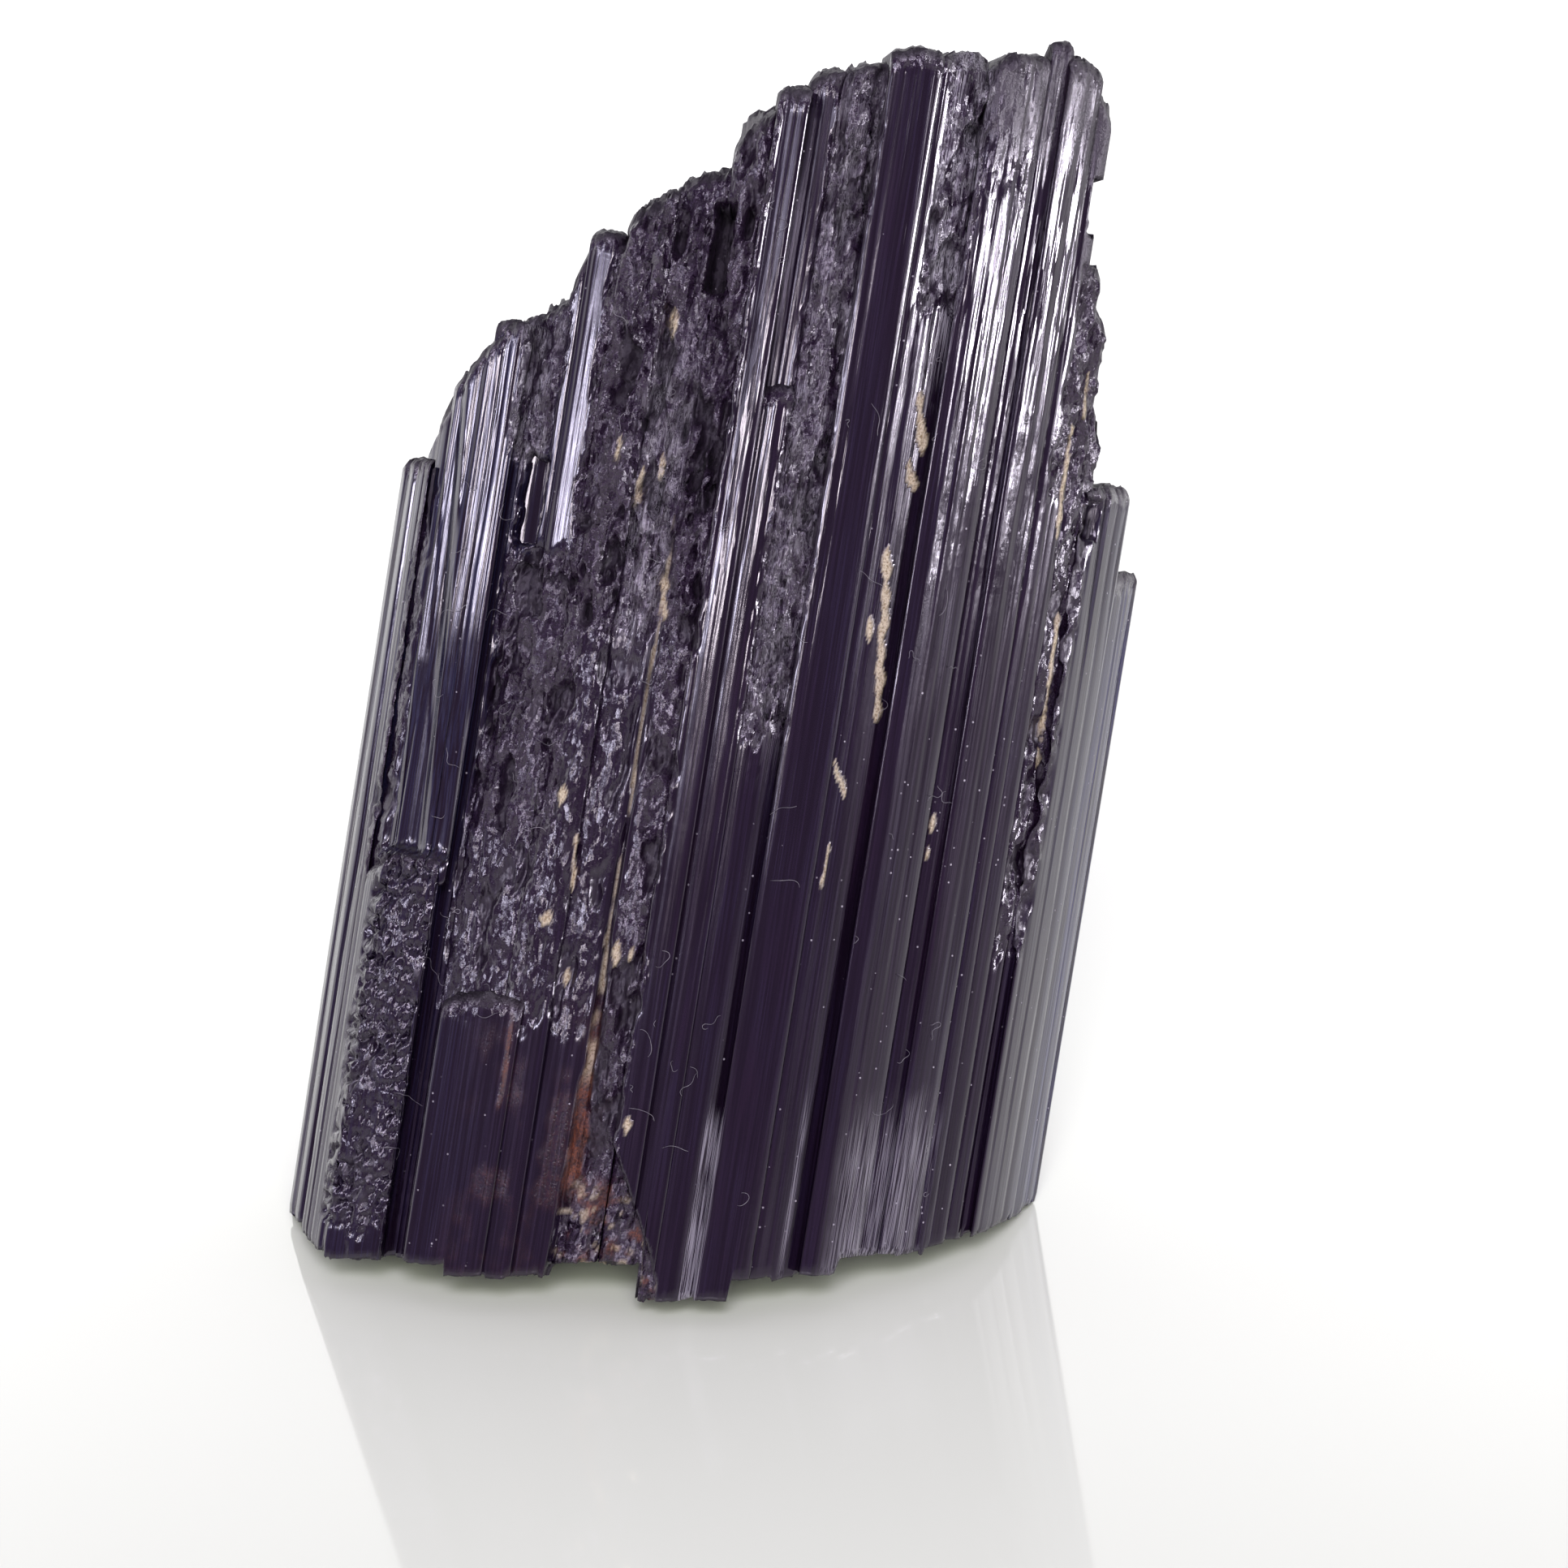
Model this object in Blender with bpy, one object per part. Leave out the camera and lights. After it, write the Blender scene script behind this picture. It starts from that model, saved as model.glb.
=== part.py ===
"""Black tourmaline (schorl): a chunk of parallel columns grown together as one crystal.

The chunk stands on its broken base and leans to the right and back. Both ends are broken:
the top steps down from right to left, one column after another, and the base rests on its
rear part while its front rim hangs about two millimetres clear.

Crystal frame, in millimetres: P runs across the wide front, Q from front to back and S along
the columns. Each column is a ribbed prism, and the prisms are joined with an exact Boolean.
World frame, in metres: +Z up, -Y is the front. The origin is on the table, under the middle
of the chunk's bounding box, which is also close to the point under its centre of mass.
"""

import math
import random

import bmesh
import bpy
from mathutils import Matrix, Vector

MM = 0.001
NAME = "tourmaline_crystal"

LEAN_RIGHT = math.radians(9.5)
LEAN_BACK = math.radians(17.0)
FOOT = Vector((-2.36, -10.66, 0.9))  # the crystal frame's origin in the world, mm
ROOT_S = -9.0  # where every column starts, below the table

# Cross-section of the whole chunk: corners (P, Q) of its front and of its back, left to right.
FRONT = [(-18.2, 3.9), (-16.5, -2.4), (-15.4, -5.0), (-7.1, -8.1), (0.7, -9.5), (7.0, -8.6),
         (14.5, -4.8), (18.3, 2.5)]
BACK = [(-18.2, 3.9), (-17.4, 7.6), (-14.6, 11.2), (-8.5, 14.4), (1.5, 15.8), (9.5, 14.6),
        (14.6, 11.6), (17.4, 7.4), (18.3, 2.5)]
FRONT_REACH = 5.0  # how far back the front columns run
BACK_REACH = 0.5  # how far forward the back columns run

RIB_PITCH = (0.45, 1.25)
RIB_DEPTH = (0.08, 0.3)
SIDE_RIB_PITCH = (1.5, 3.2)
SIDE_RIB_DEPTH = (0.05, 0.2)
SPLAY = 0.3  # how much wider a front column is inside the chunk, so that neighbours overlap
BACK_OVERLAP = 0.35  # the same for a back column

# Front columns: from P, to P, set back, top at the left, top at the right, jaggedness, lower end.
FRONT_COLUMNS = {
    "left_flank": (-17.85, -16.25, 0.0, 34.0, 34.4, 0.15, ROOT_S),
    "corner_edge": (-16.45, -15.6, 0.8, 34.6, 37.4, 0.15, ROOT_S),
    "corner_recess": (-15.75, -13.9, 0.9, 38.2, 38.9, 0.3, ROOT_S),
    "corner_stub": (-16.35, -12.85, 0.0, 15.2, 16.2, 0.45, ROOT_S),
    "upper_ribs": (-15.35, -13.5, 0.1, 38.2, 41.0, 0.2, 27.0),
    "inner_ribs": (-13.65, -12.45, 0.2, 41.2, 41.2, 0.25, 26.6),
    "long_ribs": (-14.05, -12.75, 0.4, 41.1, 41.3, 0.2, ROOT_S),
    "narrow_groove": (-12.95, -11.65, 1.25, 41.3, 41.7, 0.3, ROOT_S),
    "slot_wall": (-12.1, -10.7, 0.95, 41.8, 42.9, 0.35, ROOT_S),
    "spalled_band": (-11.85, -8.2, 0.5, 30.3, 29.9, 0.45, ROOT_S),
    "lower_plate": (-11.75, -8.05, 0.0, 9.6, 10.1, 0.3, ROOT_S),
    "face_edge": (-10.95, -10.25, 1.0, 42.9, 45.2, 0.15, ROOT_S),
    "smooth_face": (-10.4, -8.8, 0.85, 45.8, 46.0, 0.15, ROOT_S),
    "pitted_left": (-8.95, -6.7, 0.35, 46.8, 48.4, 0.4, ROOT_S),
    "pitted_right": (-6.85, -4.45, 0.65, 48.6, 49.8, 0.45, ROOT_S),
    "crevice_strip": (-4.55, -2.95, 0.5, 50.8, 52.8, 0.3, ROOT_S),
    "bright_ridge": (-3.0, -1.6, -0.15, 53.5, 53.8, 0.25, ROOT_S),
    "dark_band": (-1.7, -0.2, 0.7, 54.2, 54.9, 0.2, ROOT_S),
    "dark_band_foot": (-1.75, -0.25, 0.2, 39.9, 40.2, 0.3, ROOT_S),
    "pit_row": (-0.3, 1.85, 0.5, 54.9, 55.5, 0.3, ROOT_S),
    "flat_band": (1.75, 4.15, 0.05, 56.2, 56.5, 0.25, ROOT_S),
    "rough_strip": (4.05, 6.45, 0.4, 56.5, 56.5, 0.3, ROOT_S),
    "bright_left": (6.35, 9.1, 0.0, 56.5, 57.4, 0.3, ROOT_S),
    "peak": (9.05, 10.1, 0.45, 57.9, 58.0, 0.15, ROOT_S),
    "bright_right": (10.0, 11.75, 0.05, 57.6, 57.2, 0.3, ROOT_S),
    "right_shoulder": (11.6, 12.45, 0.25, 56.3, 55.4, 0.3, ROOT_S),
    "step_upper": (12.1, 13.2, 0.3, 48.4, 48.2, 0.35, ROOT_S),
    "step_middle": (13.0, 13.95, 0.55, 46.7, 45.6, 0.4, ROOT_S),
    "step_lower": (13.75, 14.6, 0.8, 42.2, 40.3, 0.45, ROOT_S),
    "right_column": (14.55, 16.85, -0.1, 38.0, 38.4, 0.2, ROOT_S),
    "right_flank": (16.6, 18.25, 0.1, 34.1, 34.4, 0.2, ROOT_S),
}

# Back columns: from P, to P, set back, top at the left, top at the right, jaggedness.
BACK_COLUMNS = {
    "back_left_flank": (-18.0, -15.6, 0.1, 33.0, 34.2, 0.3),
    "back_left": (-15.9, -13.3, -0.1, 36.6, 38.0, 0.5),
    "back_left_thin": (-13.6, -11.9, 0.4, 38.4, 40.2, 0.3),
    "back_left_inner": (-12.2, -9.6, 0.9, 40.6, 42.6, 0.5),
    "back_wide": (-9.9, -6.6, -0.2, 42.4, 44.6, 0.6),
    "back_wide_edge": (-6.9, -5.2, 0.3, 46.4, 47.0, 0.4),
    "back_middle": (-5.5, -2.9, 0.6, 49.0, 50.6, 0.5),
    "back_thin": (-3.2, -1.6, 1.1, 51.0, 52.2, 0.3),
    "back_ridge": (-1.9, 1.3, -0.1, 47.8, 49.2, 0.6),
    "back_groove": (1.0, 3.8, 0.9, 53.8, 54.6, 0.3),
    "back_broad": (3.5, 6.4, 0.0, 51.6, 52.0, 0.6),
    "back_broad_edge": (6.1, 8.2, 0.5, 54.0, 54.8, 0.4),
    "back_right": (7.9, 10.9, 0.1, 52.6, 51.4, 0.5),
    "back_right_edge": (10.6, 12.3, 0.7, 49.2, 48.4, 0.4),
    "back_step": (12.0, 14.6, 0.1, 43.2, 39.6, 0.5),
    "back_right_flank": (14.3, 16.6, 0.5, 36.8, 35.8, 0.3),
    "back_right_rim": (16.3, 18.15, 0.1, 33.8, 32.6, 0.3),
}

# Heart of the chunk: from P, to P, front Q, back Q, top, jaggedness.
CORES = {
    "core_left": (-15.6, -11.2, -1.0, 7.0, 36.9, 0.5),
    "core_low": (-11.8, -7.4, -2.0, 9.0, 42.6, 0.5),
    "core_middle": (-8.0, -3.6, -2.0, 8.0, 47.2, 0.6),
    "core_high": (-4.2, 1.4, -3.0, 9.0, 53.0, 0.6),
    "core_peak": (0.8, 7.2, -3.0, 10.0, 55.4, 0.7),
    "core_shoulder": (6.4, 12.0, -3.0, 8.4, 56.4, 0.6),
    "core_edge": (9.2, 12.7, -1.5, 8.6, 50.9, 0.5),
    "core_step": (11.6, 14.2, -2.0, 7.6, 44.2, 0.5),
    "core_right": (13.4, 16.6, -1.5, 7.5, 37.4, 0.5),
}
TOP_TILT = 0.03, 0.0061  # rise of a top per mm towards the back: at S 34, and more per mm of S

# Pockets cut in from the front: P, P, S, S, depth below the front outline.
POCKETS = {
    "slot": (-11.75, -10.75, 30.9, 34.7, 3.4),
    "hollow": (-4.95, -4.15, 43.4, 47.3, 2.4),
    "pinhole": (-3.65, -3.25, 46.0, 47.2, 1.9),
    "right_hollow": (14.5, 15.1, 35.3, 37.0, 2.2),
    "strip_pit": (5.7, 6.4, 51.6, 52.5, 1.2),
    "shoulder_notch": (12.1, 13.7, 48.9, 51.2, 9.0),
}

# Zones of small pits: P, P, S, S, set back, number, widths, lengths along the columns, depth.
PIT_ZONES = {
    "pit_row_upper": (0.1, 1.5, 42.0, 53.4, 0.45, 9, (0.5, 0.9), (0.8, 1.8), 0.45),
    "pit_row_lower": (0.0, 1.4, 24.5, 41.0, 0.45, 12, (0.5, 0.9), (0.9, 1.9), 0.4),
    "pitted_field": (-8.4, -3.4, 28.5, 46.0, 0.5, 20, (0.5, 1.0), (0.9, 2.6), 0.5),
    "spalled": (-11.2, -8.5, 11.0, 29.0, 0.5, 12, (0.7, 1.3), (0.9, 2.2), 0.35),
    "stub_face": (-15.0, -13.3, 1.0, 14.2, 0.0, 10, (0.6, 1.2), (0.8, 1.8), 0.35),
    "right_seam": (13.3, 14.2, 16.0, 36.0, 0.55, 7, (0.4, 0.8), (0.8, 1.8), 0.35),
}

CREVICE = (-4.62, 0.0, 34.3, 0.24, 1.5)  # P, from S, to S, half width, depth
CLAY_POCKET = [(-4.9, -4.0), (-4.9, 3.0), (-4.45, 6.2), (-3.1, 4.7), (-1.3, 1.2), (0.0, -1.6),
               (0.1, -4.0)]  # corners (P, S) of the broken corner beside the crevice
CLAY_POCKET_DEPTH = 0.95

# Underside, on the table, mm from a point straight under the crystal frame's origin.
# The rim: from X, to X, the Y in front of which the base leaves the table, its slope.
RIM = [(-21.0, -15.2, 3.6, 0.226), (-15.3, -9.3, -0.5, 0.34), (-9.5, -4.6, -1.5, 0.30),
       (-4.8, -0.3, -1.8, 0.43), (-0.5, 3.6, -1.2, 0.17), (3.4, 8.6, -1.0, 0.29),
       (8.4, 12.6, 0.5, 0.31), (12.4, 21.0, 4.0, 0.222)]
BACK_CHIPS = [(-13.5, 12.0, 2.2), (-2.0, 15.9, 1.8), (9.5, 15.2, 2.4)]  # X, Y, radius
# Shallow hollows that leave separate resting patches: X, Y, half length, half width, depth.
BASE_HOLLOWS = [(-7.5, 3.6, 6.0, 3.2, 0.9), (1.6, 7.4, 4.6, 3.8, 1.1), (8.6, 4.2, 4.2, 2.6, 0.8),
                (-4.6, 10.6, 3.6, 2.0, 0.7), (-13.4, 7.0, 2.4, 3.0, 0.8), (13.6, 9.0, 1.8, 2.6, 0.6)]

BLACK = (0.018, 0.014, 0.022, 1.0)
ROUGHNESS = 0.24


def to_world():
    """Crystal frame in millimetres to world frame in metres."""
    lean = Matrix.Rotation(LEAN_RIGHT, 4, "Y") @ Matrix.Rotation(-LEAN_BACK, 4, "X")
    return Matrix.Scale(MM, 4) @ Matrix.Translation(FOOT) @ lean


def table_to_world():
    """Table millimetres, counted from under the crystal frame's origin, to world metres."""
    return Matrix.Scale(MM, 4) @ Matrix.Translation((FOOT.x, FOOT.y, 0.0))


def level_at(corners, p):
    """Q of an outline at P, by straight lines between its corners."""
    for (p0, q0), (p1, q1) in zip(corners, corners[1:]):
        if p0 <= p <= p1:
            return q0 + (q1 - q0) * (p - p0) / (p1 - p0)
    return corners[0][1] if p < corners[0][0] else corners[-1][1]


def stretch_of(corners, start, end, set_back):
    """The outline between two P values, moved in by set_back along Q."""
    inner = [c for c in corners if start + 0.05 < c[0] < end - 0.05]
    ends = [(p, level_at(corners, p)) for p in (start, end)]
    return [Vector((p, q + set_back)) for p, q in [ends[0], *inner, ends[1]]]


def ribbed(path, inward, rng, pitch=RIB_PITCH, depths=RIB_DEPTH):
    """The path with lengthwise ribs: steps to one side and back, a pitch apart."""
    points = [path[0]]
    depth = 0.0
    for a, b in zip(path, path[1:]):
        along = (b - a).normalized()
        side = Vector((-along.y, along.x)) * inward
        length, at = (b - a).length, rng.uniform(*pitch)
        while at < length - pitch[0]:
            points.append(a + along * at + side * depth)
            depth = 0.0 if depth else rng.uniform(*depths)
            points.append(a + along * (at + 0.12) + side * depth)
            at += rng.uniform(*pitch)
        points.append(b + side * depth)
    return points


def helper_mesh(name, bm, collection):
    """Puts a closed mesh into a helper collection, faces outward, out of the render."""
    bmesh.ops.recalc_face_normals(bm, faces=bm.faces)
    mesh = bpy.data.meshes.new(name)
    bm.to_mesh(mesh)
    bm.free()
    obj = bpy.data.objects.new(name, mesh)
    obj.hide_render = True
    obj.display_type = "WIRE"
    collection.objects.link(obj)
    return obj


def prism(name, plan, low, top_left, top_right, jag, collection, rng):
    """A column on a plan of (P, Q) corners, with a broken, uneven top."""
    left, right = min(c.x for c in plan), max(c.x for c in plan)
    bm = bmesh.new()
    face = bm.faces.new([bm.verts.new((c.x, c.y, low)) for c in plan])
    lift = bmesh.ops.extrude_face_region(bm, geom=[face])["geom"]
    raised = [v for v in lift if isinstance(v, bmesh.types.BMVert)]
    crown = [f for f in lift if isinstance(f, bmesh.types.BMFace)]
    for vert in raised:
        vert.co.z = top_left
    bmesh.ops.triangulate(bm, faces=crown)
    for vert in raised:
        share = (vert.co.x - left) / (right - left)
        top = top_left + (top_right - top_left) * share
        behind = vert.co.y - level_at(FRONT, vert.co.x) - FRONT_REACH
        tilt = TOP_TILT[0] + TOP_TILT[1] * (top - 34.0)
        vert.co.z = top + tilt * behind + rng.uniform(-1.7, 0.3) * jag
    foot = [f for f in bm.faces if all(abs(v.co.z - low) < 1e-6 for v in f.verts)]
    ends = {v for f in foot for v in f.verts}
    bmesh.ops.triangulate(bm, faces=foot)
    for vert in ends:
        vert.co.z += rng.uniform(-0.5, 0.5) * (jag if low > ROOT_S else 0.02)
    bm.transform(to_world())
    return helper_mesh(name, bm, collection)


def front_column(name, row, collection, rng):
    """A front column: finely ribbed in front, splayed and coarsely ribbed at its sides."""
    start, end, set_back, top_left, top_right, jag, low = row
    path = ribbed(stretch_of(FRONT, start, end, set_back), 1, rng)
    depth = path[0].y + 3.0 if low > ROOT_S else FRONT_REACH - rng.uniform(0.0, 1.8)
    splay_left = min(SPLAY, start + 17.8)
    splay_right = -0.25 if end > 12.0 else SPLAY
    back_left = Vector((start - splay_left, depth + 0.1))
    back_right = Vector((end + splay_right, depth))
    right_side = ribbed([path[-1], back_right], -1, rng, SIDE_RIB_PITCH, SIDE_RIB_DEPTH)[1:]
    left_side = ribbed([back_left, path[0]], -1, rng, SIDE_RIB_PITCH, SIDE_RIB_DEPTH)[:-1]
    plan = [*path, *right_side, *left_side]
    return prism(name, plan, low, top_left, top_right, jag, collection, rng)


def back_column(name, row, collection, rng):
    """A back column: finely ribbed behind, coarsely ribbed at its sides."""
    start, end, set_back, top_left, top_right, jag = row
    path = ribbed(stretch_of(BACK, start, end, -set_back), -1, rng)
    depth = BACK_REACH + rng.uniform(0.0, 1.5)
    front_left = Vector((start + (0.2 if start < -17.0 else -BACK_OVERLAP), depth))
    front_right = Vector((end - (0.2 if end > 12.2 else -BACK_OVERLAP), depth + 0.05))
    right_side = ribbed([front_right, path[-1]], -1, rng, SIDE_RIB_PITCH, SIDE_RIB_DEPTH)[:-1]
    left_side = ribbed([path[0], front_left], -1, rng, SIDE_RIB_PITCH, SIDE_RIB_DEPTH)[1:]
    plan = [*right_side, *reversed(path), *left_side]
    return prism(name, plan, ROOT_S, top_left, top_right, jag, collection, rng)


def core_column(name, row, collection, rng):
    """A plain six-sided column in the heart of the chunk."""
    start, end, front, back, top, jag = row
    middle = (front + back) / 2
    plan = [Vector(c) for c in ((start, middle), (start + 0.8, front), (end - 0.7, front + 0.3),
                                (end, middle + 0.4), (end - 0.9, back), (start + 0.7, back))]
    return prism(name, plan, ROOT_S + 1, top, top, jag, collection, rng)


def pocket(name, row, collection, rng):
    """A cutter for a straight-sided pocket, its far end narrower and its corners skewed."""
    start, end, low, high, depth = row
    front = level_at(FRONT, (start + end) / 2)
    bm = bmesh.new()
    bmesh.ops.create_cube(bm, size=1.0)
    for vert in bm.verts:
        deep = vert.co.y > 0
        vert.co.x = (start + end) / 2 + vert.co.x * (end - start) * (0.75 if deep else 1.1)
        vert.co.z = (low + high) / 2 + vert.co.z * (high - low) * (0.85 if deep else 1.0)
        vert.co.y = front + depth if deep else front - 2.0
        vert.co += Vector([rng.uniform(-0.07, 0.07) for _ in range(3)])
    bm.transform(to_world())
    return helper_mesh("cut_" + name, bm, collection)


def pits(name, row, collection, rng):
    """Small faceted pits scattered over a zone of the front, stretched along the columns."""
    start, end, low, high, set_back, count, widths, lengths, depth = row
    made = []
    for index in range(count):
        p = rng.uniform(start, end)
        s = low + (high - low) * (index + rng.uniform(0.1, 0.9)) / count
        bm = bmesh.new()
        bmesh.ops.create_icosphere(bm, subdivisions=1, radius=0.5)
        size = Vector((rng.uniform(*widths), 2 * depth, rng.uniform(*lengths)))
        turn = Matrix.Rotation(rng.uniform(-0.5, 0.5), 4, "Y")
        bm.transform(turn @ Matrix.Diagonal((*size, 1.0)))
        for vert in bm.verts:
            vert.co *= rng.uniform(0.85, 1.15)
        q = level_at(FRONT, p) + set_back + rng.uniform(-0.2, 0.05)
        bm.transform(to_world() @ Matrix.Translation((p, q, s)))
        made.append(helper_mesh(f"cut_{name}_{index:02d}", bm, collection))
    return made


def crevice_cutter(collection):
    """A long narrow wedge that opens the seam between two columns, widest near its foot."""
    p, low, high, half, depth = CREVICE
    front = level_at(FRONT, p)
    bm = bmesh.new()
    bmesh.ops.create_cube(bm, size=2.0)
    for vert in bm.verts:
        upper, deep = vert.co.z > 0, vert.co.y > 0
        width = half * (0.35 if upper else 1.6) * (0.3 if deep else 1.0)
        vert.co = (p + vert.co.x * width, front + (depth if deep else -1.0),
                   high if upper else low - 4.0)
    bm.transform(to_world())
    return helper_mesh("cut_crevice", bm, collection)


def clay_pocket_cutter(collection):
    """The broken corner beside the crevice: a flat sheared-off wedge of the front."""
    front = level_at(FRONT, -2.6)
    bm = bmesh.new()
    face = bm.faces.new([bm.verts.new((p, front - 2.0, s)) for p, s in CLAY_POCKET])
    lift = bmesh.ops.extrude_face_region(bm, geom=[face])["geom"]
    for vert in (v for v in lift if isinstance(v, bmesh.types.BMVert)):
        vert.co.y = front + CLAY_POCKET_DEPTH
    bmesh.ops.triangulate(bm, faces=bm.faces)
    bm.transform(to_world())
    return helper_mesh("cut_clay_pocket", bm, collection)


def table_block(name, corners, collection):
    """A cutter in table millimetres from a cube whose corners are placed one by one."""
    bm = bmesh.new()
    bmesh.ops.create_cube(bm, size=2.0)
    for vert in bm.verts:
        vert.co = Vector(corners(vert.co.x > 0, vert.co.y > 0, vert.co.z > 0))
    bm.transform(table_to_world())
    return helper_mesh(name, bm, collection)


def rim_wedge(name, row, collection, rng):
    """A wedge under the front rim: its upper face climbs forward from the contact line."""
    left, right_end, contact, slope = row
    skew = rng.uniform(-0.03, 0.03)

    def corner(right, back, top):
        x = right_end if right else left
        y = contact + 0.5 if back else -20.0
        level = slope * (contact - y) + (0.0 if back else skew * (x - left))
        return (x, y, level if top else min(level, 0.0) - 1.0)

    return table_block(name, corner, collection)


def underside_cutters(collection, rng):
    """The table plane, the wedges that lift the front rim, edge chips and shallow hollows."""
    table_block("cut_table", lambda right, back, top: (
        40 if right else -40, 40 if back else -40, 0 if top else -30), collection)
    for index, row in enumerate(RIM):
        rim_wedge(f"cut_rim_{index}", row, collection, rng)
    chips = [(x, y, r, r, r) for x, y, r in BACK_CHIPS]
    for index, (x, y, long, wide, deep) in enumerate(chips + BASE_HOLLOWS):
        bm = bmesh.new()
        bmesh.ops.create_icosphere(bm, subdivisions=1, radius=1.0)
        bm.transform(Matrix.Diagonal((long, wide, deep, 1.0)))
        for vert in bm.verts:
            vert.co *= rng.uniform(0.82, 1.18)
        turn = Matrix.Rotation(rng.uniform(-0.5, 0.5), 4, "Z")
        bm.transform(table_to_world() @ Matrix.Translation((x, y, 0.0)) @ turn)
        helper_mesh(f"cut_chip_{index}", bm, collection)


def schorl_material():
    """Black glassy tourmaline with a hint of purple."""
    material = bpy.data.materials.new("schorl_black")
    material.use_nodes = True
    shader = material.node_tree.nodes["Principled BSDF"]
    shader.inputs["Base Color"].default_value = BLACK
    shader.inputs["Roughness"].default_value = ROUGHNESS
    shader.inputs["Metallic"].default_value = 0.0
    material.diffuse_color = BLACK
    return material


def boolean(obj, name, operation, collection):
    """Adds an exact Boolean with every object of a collection."""
    modifier = obj.modifiers.new(name, "BOOLEAN")
    modifier.operation = operation
    modifier.operand_type = "COLLECTION"
    modifier.collection = collection
    modifier.solver = "EXACT"


def crystal(parts, columns, cutters):
    """The chunk: the heart's first column, joined with every other column, then cut."""
    heart = None
    for name, row in CORES.items():
        made = core_column(name, row, columns, random.Random(name))
        heart = heart or made
    for name, row in FRONT_COLUMNS.items():
        front_column(name, row, columns, random.Random(name))
    for name, row in BACK_COLUMNS.items():
        back_column(name, row, columns, random.Random(name))
    for name, row in POCKETS.items():
        pocket(name, row, cutters, random.Random(name))
    for name, row in PIT_ZONES.items():
        pits(name, row, cutters, random.Random(name))
    crevice_cutter(cutters)
    clay_pocket_cutter(cutters)
    underside_cutters(cutters, random.Random("underside"))
    obj = bpy.data.objects.new(NAME, heart.data.copy())
    columns.objects.unlink(heart)
    bpy.data.objects.remove(heart)
    parts.objects.link(obj)
    obj.data.name = NAME
    obj.data.materials.append(schorl_material())
    boolean(obj, "join_columns", "UNION", columns)
    boolean(obj, "break_and_pit", "DIFFERENCE", cutters)
    return obj


def main():
    for obj in list(bpy.data.objects):
        bpy.data.objects.remove(obj, do_unlink=True)
    collections = []
    for name in (NAME, "growth_columns", "cutters"):
        collection = bpy.data.collections.new(name)
        bpy.context.scene.collection.children.link(collection)
        collections.append(collection)
    crystal(*collections)


main()
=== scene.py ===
"""Black tourmaline chunk on a pale glossy floor: its columns, stain and clay, and the studio.

Every column is a closed surface on a grid of two parameters, the way round its plan and the
way up it. Crystal coordinates are in millimetres: P across the wide front, Q from front to
back, S along the columns. World coordinates are in metres, +Z up, the front towards -Y.
"""

import math

import bpy
import numpy as np
from mathutils import Matrix, Vector

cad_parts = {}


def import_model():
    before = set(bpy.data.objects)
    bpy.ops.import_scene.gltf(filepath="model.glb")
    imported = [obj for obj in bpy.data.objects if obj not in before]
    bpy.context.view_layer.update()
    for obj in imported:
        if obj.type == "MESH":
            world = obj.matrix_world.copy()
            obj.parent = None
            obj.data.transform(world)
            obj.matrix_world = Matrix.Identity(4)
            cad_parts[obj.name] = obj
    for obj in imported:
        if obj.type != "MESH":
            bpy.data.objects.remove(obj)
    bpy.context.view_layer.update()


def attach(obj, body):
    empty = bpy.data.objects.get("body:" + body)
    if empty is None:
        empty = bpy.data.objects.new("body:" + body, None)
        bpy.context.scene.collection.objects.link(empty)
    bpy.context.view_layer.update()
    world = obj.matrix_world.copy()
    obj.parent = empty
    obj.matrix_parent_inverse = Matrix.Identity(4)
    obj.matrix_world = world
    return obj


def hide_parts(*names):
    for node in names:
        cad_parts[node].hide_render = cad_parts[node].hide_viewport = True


NODE, SLOT, BODY = "tourmaline_crystal", "schorl", "root"
MM = 0.001
LEAN_RIGHT, LEAN_BACK = math.radians(9.5), math.radians(17.0)
FOOT = np.array([-2.36, -10.66, 0.9])  # the crystal frame's origin in the world, mm
LEAN = Matrix.Rotation(LEAN_RIGHT, 3, "Y") @ Matrix.Rotation(-LEAN_BACK, 3, "X")
AXES = np.array(LEAN)  # its columns are the directions of P, Q and S

# Cross-section corners (P, Q), and the columns, as the solid has them.
FRONT = np.array([(-18.2, 3.9), (-16.5, -2.4), (-15.4, -5.0), (-7.1, -8.1), (0.7, -9.5),
                  (7.0, -8.6), (14.5, -4.8), (18.3, 2.5)])
BACK = np.array([(-18.2, 3.9), (-17.4, 7.6), (-14.6, 11.2), (-8.5, 14.4), (1.5, 15.8),
                 (9.5, 14.6), (14.6, 11.6), (17.4, 7.4), (18.3, 2.5)])
TOP_TILT = 0.03, 0.0061  # rise of a top per mm towards the back: at S 34, and more per mm of S
EASED_TILT = 0.06  # how much less the rear of a top rises
ROOT = None  # a column that runs down to the broken base

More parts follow.
